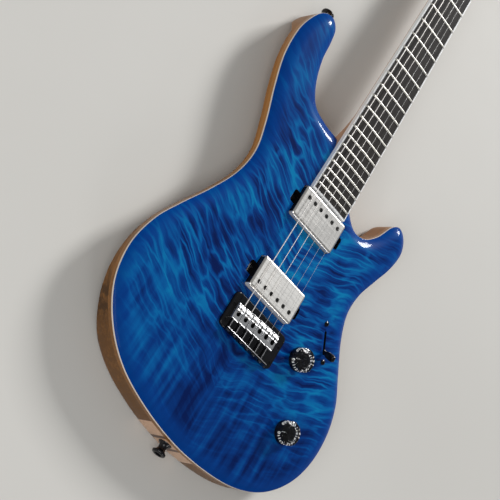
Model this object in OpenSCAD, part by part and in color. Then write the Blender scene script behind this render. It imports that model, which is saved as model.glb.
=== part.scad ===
// Electric guitar: solid body with a through neck, carved figured top and fixed bridge.
// Lengths are millimetres. The guitar lies on its back: +Y runs to the headstock, +X to the
// treble side, +Z out of the front. The origin is on the back plane, on the centre line, below
// the line where the highest string leaves its saddle. Strings count from 1, the highest.

/* [Body] */
// Thickness of the body in the middle
body_t = 41; // [40:0.5:44]
// How far the carved edge of the top lies below the middle
edge_drop = 5; // [3:0.5:6]
// Width of the carved edge
carve_w = 9; // [7:0.5:10]
// Thickness of the top plate in the middle
top_t = 12; // [11:0.5:13]
// Radius of the rounded edge of the back
back_round = 8; // [5:0.5:8]
// Width of the pale strip around the top
binding_w = 1.8; // [1.2:0.1:2.4]
// Width of the laminated core
core_w = 70; // [66:1:74]

/* [Neck] */
// Scale length, from the nut to the saddles
scale_length = 648; // [640:1:656]
// Number of frets
fret_count = 24; // [22:1:24]
// Width of the fretboard at the nut
nut_w = 43; // [41:0.5:45]
// Width of the fretboard at its end over the body
board_end_w = 57.4; // [55:0.2:59]
// Thickness of the fretboard
board_t = 6.5; // [5.5:0.5:7]
// Radius of the fretboard's crowned face
board_radius = 400; // [300:10:500]
// Length of the board past the last fret
board_past = 9; // [7:0.5:11]
// Width of the strip along the fretboard's edges
board_strip = 1.6; // [1.2:0.1:2.2]
// Neck thickness with the board, at the nut
neck_t_nut = 21; // [20:0.5:22]
// Neck thickness with the board, at the heel
neck_t_heel = 24; // [23:0.5:25]
// Width of a fret wire
fret_w = 2.4; // [2:0.1:2.8]
// Height of a fret above the board
fret_h = 1.1; // [0.9:0.1:1.3]
// Length of the nut along the strings
nut_l = 5; // [4:0.5:6]

/* [Headstock] */
// Length of the headstock behind the nut
head_l = 178; // [172:1:185]
// Thickness of the headstock's wood
head_t = 14; // [13:0.5:15]
// Step from the fretboard's underside down to the headstock's wood
head_step = 5; // [4.5:0.5:6]
// Thickness of the headstock veneer
veneer_t = 1.5; // [1:0.1:2]
// Distance of the tuner posts from the centre line
post_x = 26; // [25:0.5:27]
// First tuner post behind the nut
post_first = 52; // [50:1:54]
// From the last tuner posts to the headstock's end
post_tip = 46; // [44:1:50]

/* [Pickups] */
// Length of a pickup cover across the strings
pickup_l = 69.5; // [68:0.5:71]
// Width of a pickup cover along the strings
pickup_w = 38; // [37:0.5:39]
// Gap between the fretboard's end and the neck pickup
pickup_gap = 2.5; // [2:0.5:4]
// Distance from the scale line to the middle of the bridge pickup
bridge_pickup_y = 37.5; // [36:0.5:39]
// Height of the neck pickup above the top
neck_pickup_rise = 6; // [5:0.2:6.2]
// Height of the bridge pickup above the top
bridge_pickup_rise = 7.8; // [7:0.2:8]
// Distance of a pole row from the middle of its pickup
pole_row = 9; // [8.5:0.1:9.5]
// Distance of a height screw from the centre line
ear_x = 39.2; // [38.6:0.2:39.6]
// Depth of a pickup cavity below the top
pickup_cavity = 21; // [20:0.5:22]

/* [Bridge] */
// String spacing at the saddles
string_pitch = 10.7; // [10.4:0.1:10.8]
// String height above the top at the saddles
string_rise = 10.6; // [10.4:0.1:11]
// Width of the bridge base
bridge_w = 83; // [81:1:86]
// How far the bridge base reaches past the strings' middle to the treble side
bridge_shift = 3; // [0:0.5:4]
// Front edge of the bridge base
bridge_front = 8.5; // [8:0.5:10]
// Rear edge of the bridge base
bridge_rear = -33; // [-36:0.5:-32]
// Thickness of the bridge floor
bridge_floor = 3.2; // [3:0.1:3.5]
// Height of the bridge's rear lip
bridge_wall_h = 7.5; // [7:0.5:8.5]
// How far the lowest string's saddle lies behind the highest one's
saddle_stagger = 4; // [2:0.5:5]
// Length of a saddle
saddle_l = 18.8; // [18:0.2:19]
// Travel of a saddle each way
saddle_travel = 3; // [2:0.5:3]

/* [Controls] */
// Volume control, treble side
volume_x = 72; // [71:0.5:74]
// Volume control, along the strings
volume_y = 1.5; // [0:0.5:4]
// Tone control, treble side
tone_x = 103.5; // [101:0.5:105]
// Tone control, along the strings
tone_y = -68.5; // [-71:0.5:-66]
// Knob diameter
knob_d = 26; // [24:0.5:27]
// Knob height
knob_h = 13.5; // [12.5:0.5:15]
// Middle of the blade switch, treble side
switch_x = 92.5; // [91:0.5:94]
// Middle of the blade switch, along the strings
switch_y = 38; // [37:0.5:40]
// Direction of the switch slot
switch_turn = -59; // [-62:1:-56]
// Tilt of the switch lever at either end of its travel
switch_tilt = 26; // [22:1:27]
// Spacing of the switch screws
switch_screw_pitch = 41; // [40:0.5:42]
// Thickness of the top left over the control cavity
roof_t = 8; // [7:0.5:9]
// Bore of the output jack
jack_bore = 6.5; // [6.4:0.05:6.7]

/* [Hidden] */
NODES = concat(
  ["neck_through_core", "bass_wing", "treble_wing", "top_plate", "body_binding"],
  ["fretboard", "fretboard_binding", "frets", "nut", "truss_rod", "truss_rod_cover"],
  ["headstock_veneer", "neck_pickup_cover", "neck_pickup_base", "neck_pickup_coils"],
  ["neck_pickup_screws", "neck_pickup_springs", "bridge_pickup_cover", "bridge_pickup_base"],
  ["bridge_pickup_coils", "bridge_pickup_screws", "bridge_pickup_springs"],
  ["control_pots", "control_nuts", "volume_knob", "volume_shaft", "tone_knob", "tone_shaft"],
  ["switch_frame", "switch_lever", "switch_tip", "output_jack", "control_cover"],
  ["strap_buttons", "bridge_base"],
  [for (i = [1:6]) str("saddle_", i)],
  ["intonation_screws", "strings", "string_ferrules", "tuner_housings", "tuner_bushings"],
  [for (i = [1:6]) str("tuner_button_", i)],
  [for (i = [1:6]) str("tuner_post_", i)],
  ["mounting_screws", "wiring"]
);
node = "all";
$fn = 48;

// Clearances and small standard sizes
fit = 0.05;
slack = 0.3;
seat = 0.1;
over = 1;
sheet = 0.8;
far = 300;

// Outline of the body, counter-clockwise from the tail, outside of the pale strip
tail_y = -155;
body_points = [
  [0, tail_y], [50, -154], [92, -146], [125, -129], [149, -102], [161, -70], [162, -35],
  [153, -3], [135, 25], [115, 56], [104, 84], [105, 110], [114, 136], [124, 162], [128, 184],
  [124.5, 198], [116, 207], [106, 209], [97, 201], [87, 180], [73, 165], [56, 161], [40, 169],
  [22, 186], [0, 205], [-24, 220], [-50, 222], [-73, 228], [-88, 247], [-97, 272], [-100, 296],
  [-104, 311], [-114, 318], [-126, 314], [-135, 301], [-142, 275], [-140, 240], [-129, 205],
  [-115, 170], [-106, 137], [-110, 104], [-125, 69], [-145, 32], [-160, 0], [-166.5, -37],
  [-158, -75], [-133, -108], [-98, -132], [-52, -147]
];
outline_steps = 3;
jack_point = 4;
horn_point = 32;

// Contour of the back on the bass side: outline point, height of the cut at the edge, its width
contour = [
  [34, -2, 14], [35, 24, 26], [36, 25, 34], [37, 24.5, 40], [38, 25, 44], [39, 26.5, 46],
  [40, 27.5, 46], [41, 27.5, 46], [42, 27.5, 46], [43, 27, 46], [44, 24.5, 44], [45, 18, 38],
  [46, 8, 30], [47, -2, 24]
];
contour_reach = 6;
contour_under = 2;

// Half outline of the headstock: distance from the centre line, distance behind the nut
head_points = [
  [nut_w / 2 - 3, -8], [nut_w / 2 + 1.5, 14], [30, 30], [39, 46], [41, 70], [38.5, head_l - 68],
  [37, head_l - 28], [30, head_l - 6], [14, head_l], [0, head_l - 2]
];

// Levels
top_z = body_t;
plate_z = body_t - top_t;
ceiling_z = top_z - roof_t;
cavity_z = top_z - pickup_cavity;
board_z = top_z + board_t;
fret_z = board_z + fret_h;
floor_z = top_z + bridge_floor;
head_top = top_z - head_step;
head_face = head_top + veneer_t;
head_back = head_top - head_t;
side_z = 18.5;

// Neck
board_end_y = scale_length / pow(2, fret_count / 12) - board_past;
board_grow = (board_end_w - nut_w) / 2 / (scale_length - board_end_y);
heel_y = 215;
heel_end_y = 262;
neck_end_y = scale_length + nut_l;
rod_w = 6;
rod_h = 9;
rod_from_y = heel_y - 39;
rod_nut_r = 2.5;
rod_nut_l = 14;
rod_end_y = neck_end_y + rod_nut_l + 2;
heel_half = 27.5;
heel_flat = 24;
heel_bevel = 8;
heel_back_y = heel_y - 50;
scoop_y = scale_length - 34;
sliver = 0.5;
shade = 0.3;
truss_cover_t = 2;
truss_tip = 36;
truss_foot = 7;
truss_side = 8;
truss_screws = [
  [0, neck_end_y + truss_tip], [-truss_side, neck_end_y + truss_foot],
  [truss_side, neck_end_y + truss_foot]
];
post_pitch = (head_l - post_first - post_tip) / 2;
truss_screw_r = 1;
truss_screw_l = 10;
truss_head_r = 1.9;
truss_head_h = 1.2;

// Strings
string_r = [0.13, 0.165, 0.215, 0.33, 0.455, 0.585];
nut_pitch = (nut_w - 7) / 5;
nut_string_z = fret_z + 0.7;
saddle_string_z = top_z + string_rise;
ball_r = 1.9;
ball_h = 3.2;

// Pickups
pickup_r = 3;
cover_h = 17;
bevel_w = 2.2;
bevel_h = 1.2;
base_t = 1.4;
ear_w = 12;
ear_end = 2.6;
pole_r = 2.3;
pole_pitch = string_pitch - 0.4;
pole_proud = 0.4;
pole_below = 3;
height_screw_r = 1.4;
height_screw_l = 22;
height_drop = 2.5;
height_head_r = 2.6;
height_head_h = 2;
slot_cut_w = 0.7;
slot_cut_h = 1.2;
spring_r = 2.5;
spring_wire_r = 0.4;
neck_row = pole_row;
bridge_row = -pole_row;
neck_pickup_z = top_z + neck_pickup_rise;
bridge_pickup_z = top_z + bridge_pickup_rise;
neck_pickup_y = board_end_y - pickup_gap - pickup_w / 2;
lead_x = 22;
lead_r = 3;

// Bridge
bridge_wall = 2.4;
lip_w = 6 * string_pitch + 2;
saddle_w = string_pitch - 0.5;
saddle_front = 1.8;
slot_front = 2.2;
string_down = 8;
string_bend = slot_front + saddle_travel + 2 * slack;
slot_rear = string_down + saddle_travel + 3 * slack;
string_hole = 1.6;
intonation_r = 1.25;
intonation_grip = 1.8;
intonation_reach = saddle_l - saddle_front - saddle_travel - intonation_grip;
intonation_z = floor_z + 2.2;
intonation_head_r = 2.4;
intonation_head_h = 1.8;
height_set_r = 1;
height_set_x = 3.3;
height_set_y = -0.3;
bridge_corner = 6;
bridge_screw_in = 4;
bridge_screw_x = bridge_w / 2 - bridge_screw_in;
bridge_screw_rows = [bridge_front - 14.5, bridge_rear + 8];
bridge_screw_places = [
  for (s = [-1, 1], y = bridge_screw_rows) [bridge_shift + s * bridge_screw_x, y]
];
saddle_nose = 2.4;
saddle_slope = 1.6;
saddle_step = 0.9;
saddle_heel = 1.2;
saddle_tail = 1.6;
height_set_drop = 0.7;
bridge_screw_r = 1.8;
bridge_screw_l = 18;
bridge_head_r = 2.7;
bridge_head_h = 1.6;
ferrule_r = 4;
ferrule_h = 8;

// Controls
pot_r = 12;
pot_h = 9;
shaft_r = 3;
bushing_r = 4.6;
bushing_up = 3.6;
nut_h = 2.2;
nut_r = 6.4;
knob_lift = 0.8;
knob_nut_room = 5;
knob_foot = 1.2;
knob_taper = 0.3;
knob_edge = 0.5;
knob_slope = 0.9;
knob_ring = 4.6;
knob_dish = 0.8;
shaft_up = 10.5;
pivot_drop = 18;
lever_t = 1.4;
lever_w = 4;
lever_l = 33;
tip_from = 24;
tip_to = 38.5;
tip_w = 8;
slot_w = 3;
frame_l = switch_screw_pitch + 8;
frame_w = 12;
frame_t = 1.6;
frame_depth = 20;
pin_r = 1.5;
switch_screw_r = 1.5;
switch_head_r = 2.8;
switch_head_h = 1.6;
lever_hub_r = 4.4;
lever_hub_w = 6;
cheek_l = 28;
cover_t = 2;
cover_screw_r = 1.3;
cover_screw_l = 8;
cover_head_r = 2.4;
cover_head_h = 0.8;
cover_head_in = 0.2;
ledge = 6;
// Circles that the control cavity is drawn around: place, radius, direction of its cover screw
cavity_circles = [
  [switch_x - frame_l * 0.43 * cos(switch_turn), switch_y - frame_l * 0.43 * sin(switch_turn), 11, 120],
  [switch_x + frame_l * 0.43 * cos(switch_turn), switch_y + frame_l * 0.43 * sin(switch_turn), 11, 5],
  [tone_x, tone_y, 19, -60],
  [volume_x, volume_y, 18, 205]
];
jack_r = 9.3;
jack_flange_r = 10.2;
jack_flange_t = 1.5;
jack_l = 34;
button_r = 7.5;
button_l = 13;
button_sunk = 1.5;
button_screw_r = 2.2;
button_screw_in = 18;
button_head_r = 3.8;
button_head_h = 2;
jack_floor = 3;
jack_nut_r = 6.8;
jack_nut_h = 2;

// Tuners
worm_r = 2;
worm_lobe = 0.4;
worm_l = 7;
gear_r = 5.2;
gear_teeth = 14;
gear_clear = 0.22;
gear_t = 3;
worm_pitch = 2 * PI * gear_r / gear_teeth;
worm_offset = gear_r + worm_r;
worm_drop = 5;
post_r = 3;
post_rise = 9;
post_step = 1;
wrap_r = 0.35;
worm_shaft_r = 1.5;
housing_h = 10;
button_from = 19;
button_len = 17;
button_wide = 12;
button_thick = 7;
button_round = 5.6;
bush_r = 4.6;
bush_nut_r = 6.4;
bush_nut_h = 1.6;
bush_from = 4;
tuner_screw_r = 1.2;
tuner_screw_l = 9;
tuner_head_r = 2.2;
tuner_head_h = 1.2;
tuner_screw_y = -11.4;
tuner_lug_r = 3.4;
tuner_lug_t = 3;

outline = spline_closed(body_points, outline_steps);

function catmull(a, b, c, d, t) =
  0.5 * (2 * b + (c - a) * t + (2 * a - 5 * b + 4 * c - d) * t * t
    + (3 * b - a - 3 * c + d) * t * t * t);

function spline_closed(p, steps) = let (n = len(p)) [
  for (i = [0:n - 1], j = [0:steps - 1])
    catmull(p[(i + n - 1) % n], p[i], p[(i + 1) % n], p[(i + 2) % n], j / steps)
];

function spline_open(p, steps) = let (n = len(p) - 1) [
  for (i = [0:n - 1], j = [0:steps - 1])
    catmull(p[max(i - 1, 0)], p[i], p[i + 1], p[min(i + 2, n)], j / steps)
];

function inward(p, i) = let (n = len(p), t = p[(i + 1) % n] - p[(i + n - 1) % n])
  [-t.y, t.x] / norm(t);

function inset(p, d) = [for (i = [0:len(p) - 1]) p[i] + d * inward(p, i)];

function rounded_rect(l, w, r, steps = 6) = [
  for (c = [[1, 1, 0], [-1, 1, 90], [-1, -1, 180], [1, -1, 270]], k = [0:steps])
    [c[0] * (l / 2 - r) + r * cos(c[2] + 90 * k / steps),
      c[1] * (w / 2 - r) + r * sin(c[2] + 90 * k / steps)]
];

function board_half(y) = nut_w / 2 + (scale_length - y) * board_grow;
function neck_axis_z(y) = lerp(y, board_z - neck_t_heel + neck_r(heel_y),
  board_z - neck_t_nut + neck_r(scale_length));
function neck_r(y) = lerp(y, 31.2, 23.2);
function lerp(y, at_heel, at_nut) =
  at_heel + (at_nut - at_heel) * (y - heel_y) / (scale_length - heel_y);
function crown_drop(x) = board_radius - sqrt(board_radius * board_radius - x * x);

function string_x(i) = (3.5 - i) * string_pitch;
function nut_x(i) = (3.5 - i) * nut_pitch;
function saddle_y(i) = -saddle_stagger * (i - 1) / 5;
function string_z(i) = saddle_string_z - crown_drop(string_x(i));
function nut_z(i) = nut_string_z - crown_drop(nut_x(i));
function hole_y(i) = saddle_y(i) - string_down;

function tuner_side(i) = i <= 3 ? 1 : -1;
function tuner_row(i) = i <= 3 ? i - 1 : 6 - i;
function tuner_y(i) = scale_length + post_first + tuner_row(i) * post_pitch;
function wrap_z(i) = head_face + post_rise - 2.8 - tuner_row(i) * post_step;

// A closed band around a path: each section point is an inset and a level
module band(path, section) {
  n = len(path);
  m = len(section);
  points = [for (s = section) for (q = inset(path, s[0])) [q.x, q.y, s[1]]];
  faces = [
    for (k = [0:m - 1], i = [0:n - 1])
      let (j = (i + 1) % n, a = k * n, b = ((k + 1) % m) * n)
        each [[a + i, a + j, b + j], [a + i, b + j, b + i]]
  ];
  polyhedron(points, faces);
}

// A round tube along a route, with one radius at each point
module tube(route, radii, sides = 8, across = [1, 0, 0]) {
  n = len(route);
  unit = [for (i = [0:n - 2]) (route[i + 1] - route[i]) / norm(route[i + 1] - route[i])];
  heading = [
    for (i = [0:n - 1])
      let (d = unit[max(i - 1, 0)] + unit[min(i, n - 2)])
        d / norm(d)
  ];
  points = [
    for (i = [0:n - 1], k = [0:sides - 1])
      let (
        u0 = cross(heading[i], across),
        u = u0 / norm(u0),
        v = cross(heading[i], u),
        a = 360 * k / sides
      )
        route[i] + radii[i] * (cos(a) * u + sin(a) * v)
  ];
  walls = [
    for (i = [0:n - 2], k = [0:sides - 1])
      let (j = (k + 1) % sides, a = i * sides, b = a + sides)
        each [[a + j, a + k, b + k], [a + j, b + k, b + j]]
  ];
  near_end = [[for (k = [0:sides - 1]) k]];
  far_end = [[for (k = [0:sides - 1]) n * sides - 1 - k]];
  polyhedron(points, concat(walls, near_end, far_end));
}

module rod(from, to, r) {
  d = to - from;
  translate(from) rotate([0, acos(d.z / norm(d)), atan2(d.y, d.x)]) cylinder(r = r, h = norm(d));
}

module side_place(index, z) {
  at = outline[index * outline_steps];
  out = -inward(outline, index * outline_steps);
  translate([at.x, at.y, z]) rotate([0, 90, atan2(out.y, out.x)]) children();
}

// A slotted or plain screw: head down from z = 0, shank below it
module screw(head_r, head_h, shank_r, shank_l) {
  translate([0, 0, -head_h]) cylinder(r = head_r, h = head_h);
  translate([0, 0, -head_h - shank_l]) cylinder(r = shank_r, h = shank_l + seat);
}

// Body blank, carving and rounding
module body_blank(z0, z1, d = 0) {
  translate([0, 0, z0]) linear_extrude(z1 - z0) polygon(inset(outline, d));
}

// The carved top in steps: inset and level of each, from the pale strip up to the middle
carve_steps = 4;
function carve_level(w) = let (t = min(w / carve_w, 1)) top_z - edge_drop + edge_drop * t * (2 - t);
strip_z = carve_level(binding_w * 0.6);

module carved_blank() {
  for (k = [0:carve_steps]) {
    w = binding_w + (carve_w - binding_w) * k / (carve_steps + 1);
    level = k == carve_steps ? top_z : carve_level(w + 0.4 * carve_w / carve_steps);
    body_blank(plate_z + k * sliver, level, w);
  }
}

module back_rounding() {
  bend = [for (a = [75:-20:15]) back_round * [1 - cos(a), 1 - sin(a)]];
  below = [[-3, -4], [back_round, -4], [back_round, -0.4]];
  band(outline, concat(below, bend, [[-3, back_round + 3.5]]));
}

// The wedge taken off the back along the bass edge, from the lower bout to the horn
module back_contour() {
  first = contour[0][0] * outline_steps;
  last = contour[len(contour) - 1][0] * outline_steps;
  heights = [for (c = contour) [c[0], c[1]]];
  widths = [for (c = contour) [c[0], c[2]]];
  points = [
    for (i = [first:last])
      let (
        h = lookup(i / outline_steps, heights),
        w = lookup(i / outline_steps, widths),
        inner = outline[i] + w * inward(outline, i),
        outer = outline[i] - contour_reach * inward(outline, i)
      )
        each [
          [outer.x, outer.y, -2 * contour_under],
          [inner.x, inner.y, -contour_under],
          [outer.x, outer.y, h + contour_reach * (h + contour_under) / w]
        ]
  ];
  n = last - first;
  walls = [
    for (i = [0:n - 1], k = [0:2])
      let (j = i + 1, m = (k + 1) % 3)
        each [[3 * i + k, 3 * j + k, 3 * j + m], [3 * i + k, 3 * j + m, 3 * i + m]]
  ];
  polyhedron(points, concat(walls, [[0, 1, 2], [3 * n + 2, 3 * n + 1, 3 * n]]));
}

module board_plan(y0, y1, d = 0) {
  polygon([
    [-board_half(y0) + d, y0], [board_half(y0) - d, y0],
    [board_half(y1) - d, y1], [-board_half(y1) + d, y1]
  ]);
}

module crown(r) {
  translate([0, 0, board_z - board_radius]) rotate([-90, 0, 0])
    cylinder(r = r, h = scale_length + far, $fn = 720);
}

// Cavities and holes that several pieces of the body share
module pickup_cavity_cut(y, reach) {
  translate([0, y, cavity_z]) linear_extrude(reach - cavity_z) {
    polygon(rounded_rect(pickup_l + 4 * slack, pickup_w + 4 * slack, pickup_r));
    polygon(rounded_rect(2 * (ear_x + ear_end + sheet), ear_w + 3, pickup_r));
  }
  for (s = [-1, 1]) {
    translate([s * ear_x, y, neck_pickup_z - cover_h - height_screw_l - height_drop - over])
      cylinder(r = height_screw_r + slack, h = height_screw_l);
  }
}

module pickup_cavities(reach) {
  pickup_cavity_cut(neck_pickup_y, reach);
  pickup_cavity_cut(bridge_pickup_y, reach);
}

module string_holes() {
  for (i = [1:6]) {
    translate([string_x(i), hole_y(i), -over]) cylinder(r = string_hole, h = top_z + 2 * over);
    translate([string_x(i), hole_y(i), -over]) cylinder(r = ferrule_r + seat, h = ferrule_h + over);
  }
}

module bridge_screw_holes() {
  for (p = bridge_screw_places) {
    translate([p.x, p.y, floor_z - bridge_head_h - bridge_screw_l - over])
      cylinder(r = bridge_screw_r + seat, h = bridge_screw_l + bridge_head_h + 2 * over);
  }
}

module control_plan(grow) {
  hull() {
    for (c = cavity_circles) {
      translate([c[0], c[1]]) circle(r = c[2] + grow, $fn = 32);
    }
  }
}

module cover_screw_place(c) {
  translate([c[0] + (c[2] + ledge / 2) * cos(c[3]), c[1] + (c[2] + ledge / 2) * sin(c[3]), 0]) children();
}

module control_cavity() {
  translate([0, 0, -over]) linear_extrude(ceiling_z + over) control_plan(0);
  translate([0, 0, -over]) linear_extrude(cover_t + over) control_plan(ledge + seat);
  for (c = cavity_circles) {
    cover_screw_place(c) cylinder(r = cover_screw_r + seat, h = cover_screw_l + 3 * over);
  }
}

module control_holes() {
  for (p = [[volume_x, volume_y], [tone_x, tone_y]]) {
    translate([p.x, p.y, ceiling_z - over]) cylinder(r = bushing_r + seat, h = roof_t + 2 * over);
  }
  switch_place() {
    translate([0, 0, ceiling_z - over]) linear_extrude(roof_t + 2 * over)
      polygon(rounded_rect(2 * (pivot_drop * tan(switch_tilt) + lever_w), slot_w, slot_w / 2.1));
    for (s = [-1, 1]) {
      translate([s * switch_screw_pitch / 2, 0, ceiling_z - over])
        cylinder(r = switch_screw_r + seat, h = roof_t + 2 * over);
    }
  }
}

module jack_hole() {
  side_place(jack_point, side_z) {
    translate([0, 0, -1.4 * jack_l]) cylinder(r = jack_r + seat, h = 2 * jack_l);
    translate([0, 0, -jack_flange_t]) cylinder(r = jack_flange_r + seat, h = jack_l);
  }
}

module strap_seat(index) {
  side_place(index, side_z) {
    translate([0, 0, -button_sunk]) cylinder(r = button_r + seat, h = button_l);
    translate([0, 0, -button_screw_in - 6 * over])
      cylinder(r = button_screw_r + seat, h = button_screw_in + 6 * over);
  }
}

lead_holes = [
  [[lead_x, neck_pickup_y, cavity_z + lead_r], [lead_x, bridge_pickup_y, cavity_z + lead_r]],
  [[lead_x, bridge_pickup_y, cavity_z + lead_r], [volume_x, volume_y, cavity_z + lead_r]]
];

module lead_channels() {
  for (c = lead_holes) {
    rod(c[0], c[1], lead_r);
  }
}

// Body pieces
module neck_shaft() {
  run = scale_length - heel_y;
  fall = neck_axis_z(scale_length) - neck_axis_z(heel_y);
  before = 40;
  after = 10;
  intersection() {
    linear_extrude(top_z) board_plan(board_end_y, neck_end_y);
    union() {
      translate([0, heel_y, neck_axis_z(heel_y)]) rotate([-90 + atan(fall / run), 0, 0])
        translate([0, 0, -before])
          cylinder(r1 = neck_r(heel_y - before), r2 = neck_r(neck_end_y + after),
            h = before + run + nut_l + after, $fn = 64);
      translate([-board_end_w, board_end_y - over, plate_z - over])
        cube([2 * board_end_w, heel_y - board_end_y, body_t]);
    }
  }
}

module neck_slice(y) {
  intersection() {
    translate([0, y, neck_axis_z(y)]) rotate([-90, 0, 0])
      cylinder(r = neck_r(y) - shade, h = sliver, $fn = 32);
    translate([-far, y - over, 0]) cube([2 * far, 3 * over, top_z - sliver]);
  }
}

module heel() {
  hull() {
    translate([-heel_flat, heel_back_y, sliver]) cube([2 * heel_flat, sliver, top_z - 2 * sliver]);
    translate([-heel_half, heel_back_y, heel_bevel])
      cube([2 * heel_half, sliver, top_z - heel_bevel - sliver]);
    neck_slice(heel_end_y);
  }
}

module head_scoop() {
  hull() {
    neck_slice(scoop_y);
    translate([-nut_w / 2 + over, neck_end_y + 14, head_back + sliver])
      cube([nut_w - 2 * over, sliver, head_t - head_step]);
  }
}

module head_plan() {
  half = spline_open(head_points, 5);
  right = [for (q = half) [q.x, scale_length + q.y]];
  left = [for (k = [len(half) - 1:-1:0]) [-half[k].x, scale_length + half[k].y]];
  polygon(concat(right, [[0, scale_length + head_l - 2]], left));
}

module tuner_holes(r) {
  for (i = [1:6]) {
    translate([tuner_side(i) * post_x, tuner_y(i), head_back - over]) cylinder(r = r, h = head_t + 10);
  }
}

module rod_channel() {
  translate([-rod_w / 2 - seat, rod_from_y - over, top_z - rod_h - seat])
    cube([rod_w + 2 * seat, rod_end_y - rod_from_y + 3 * over, 2 * rod_h]);
}

module truss_cover_screw_holes() {
  for (p = truss_screws) {
    translate([p.x, p.y, head_face - truss_screw_l])
      cylinder(r = truss_screw_r + seat, h = truss_screw_l + truss_cover_t + 2 * over);
  }
}

module neck_through_core() {
  color([0.86, 0.66, 0.45]) difference() {
    union() {
      intersection() {
        difference() {
          body_blank(0, plate_z);
          back_rounding();
        }
        translate([-core_w / 2, -far, -over]) cube([core_w, far + heel_y + 10, plate_z + 2 * over]);
      }
      neck_shaft();
      heel();
      head_scoop();
      translate([0, 0, head_back]) linear_extrude(head_t) head_plan();
    }
    pickup_cavities(top_z + over);
    string_holes();
    bridge_screw_holes();
    lead_channels();
    rod_channel();
    tuner_holes(bush_r + seat);
    truss_cover_screw_holes();
    tuner_screw_holes();
    strap_seat(0);
  }
}

module wing(side) {
  difference() {
    intersection() {
      difference() {
        body_blank(0, plate_z);
        back_rounding();
        if (side < 0) back_contour();
      }
      translate([side > 0 ? core_w / 2 : -far, -far, -over])
        cube([far - core_w / 2, 3 * far, plate_z + 2 * over]);
    }
    pickup_cavities(top_z + over);
    bridge_screw_holes();
    children();
  }
}

module bass_wing() {
  color([0.8, 0.6, 0.36]) wing(-1) strap_seat(horn_point);
}

module treble_wing() {
  color([0.8, 0.6, 0.36]) wing(1) {
    control_cavity();
    lead_channels();
    jack_hole();
  }
}

module top_plate() {
  color([0.05, 0.2, 0.65]) difference() {
    carved_blank();
    neck_tongue_cut();
    pickup_cavities(top_z + over);
    string_holes();
    bridge_screw_holes();
    control_cavity();
    control_holes();
  }
}

module neck_tongue_cut() {
  translate([0, 0, plate_z - over]) linear_extrude(top_t + 2 * over) board_plan(board_end_y, heel_end_y);
}

module body_binding() {
  color([0.95, 0.88, 0.7]) difference() {
    body_blank(plate_z, strip_z);
    body_blank(plate_z - over, top_z + over, binding_w);
    neck_tongue_cut();
  }
}

// Neck pieces
module fretboard() {
  color([0.13, 0.11, 0.1]) intersection() {
    translate([0, 0, top_z]) linear_extrude(board_t + 2)
      board_plan(board_end_y + board_strip, scale_length, board_strip);
    crown(board_radius);
  }
}

module fretboard_binding() {
  color([0.93, 0.9, 0.82]) intersection() {
    translate([0, 0, top_z]) linear_extrude(board_t + 2) difference() {
      board_plan(board_end_y, scale_length);
      board_plan(board_end_y + board_strip, scale_length + over, board_strip);
    }
    crown(board_radius);
  }
}

module frets() {
  color([0.85, 0.85, 0.83]) intersection() {
    for (n = [1:fret_count]) {
      y = scale_length / pow(2, n / 12);
      translate([-board_half(y) + 0.4, y - fret_w / 2, board_z - 3])
        cube([2 * board_half(y) - 0.8, fret_w, 6]);
    }
    difference() {
      crown(board_radius + fret_h);
      crown(board_radius + 0.02);
    }
  }
}

module nut() {
  color([0.92, 0.9, 0.84]) difference() {
    translate([-nut_w / 2 + slack, scale_length, top_z])
      cube([nut_w - 2 * slack, nut_l, nut_string_z - top_z + slack]);
    for (i = [1:6]) {
      slot_r = string_r[i - 1] + slack;
      rod([nut_x(i), scale_length - over, nut_z(i)], [nut_x(i), neck_end_y + over, nut_z(i)], slot_r);
      translate([nut_x(i) - slot_r, scale_length - over, nut_z(i)])
        cube([2 * slot_r, nut_l + 2 * over, nut_l]);
    }
  }
}

module truss_rod() {
  color([0.6, 0.6, 0.62]) {
    translate([-rod_w / 2, rod_from_y, top_z - rod_h])
      cube([rod_w, neck_end_y - rod_from_y - 2 * over, rod_h - sliver]);
    translate([0, neck_end_y - 2 * over - sliver, top_z - rod_h + rod_nut_r + seat]) rotate([-90, 0, 0])
      cylinder(r = rod_nut_r, h = rod_nut_l, $fn = 6);
  }
}

module truss_rod_cover() {
  color([0.08, 0.08, 0.08]) difference() {
    translate([0, neck_end_y, head_face]) linear_extrude(truss_cover_t)
      polygon([[-13, 2], [13, 2], [12, 16], [5, 40], [-5, 40], [-12, 16]]);
    truss_cover_screw_holes();
  }
}

module headstock_veneer() {
  color([0.05, 0.2, 0.65]) difference() {
    translate([0, 0, head_top]) linear_extrude(veneer_t) difference() {
      head_plan();
      translate([-50, scale_length - 10]) square([100, 10 + nut_l]);
      translate([-rod_w / 2 - seat, scale_length]) square([rod_w + 2 * seat, rod_end_y + 2 - scale_length]);
    }
    tuner_holes(bush_r + seat);
    truss_cover_screw_holes();
  }
}

// Pickups
module pickup_poles(y, row, z0, z1, r) {
  for (i = [1:6]) {
    translate([(3.5 - i) * pole_pitch, y + row, z0]) cylinder(r = r, h = z1 - z0);
  }
}

module pickup_cover(y, row, z) {
  color([0.78, 0.76, 0.72]) difference() {
    translate([0, y, 0]) hull() {
      translate([0, 0, z - cover_h]) linear_extrude(cover_h - bevel_h)
        polygon(rounded_rect(pickup_l, pickup_w, pickup_r));
      translate([0, 0, z - 0.05]) linear_extrude(0.05)
        polygon(rounded_rect(pickup_l - 2 * bevel_w, pickup_w - 2 * bevel_w, pickup_r / 2));
    }
    translate([0, y, z - cover_h - over]) linear_extrude(cover_h + over - bevel_h - sheet)
      polygon(rounded_rect(pickup_l - 2 * sheet, pickup_w - 2 * sheet, pickup_r - sheet));
    pickup_poles(y, row, z - 4, z + over, pole_r + seat);
  }
}

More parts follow.
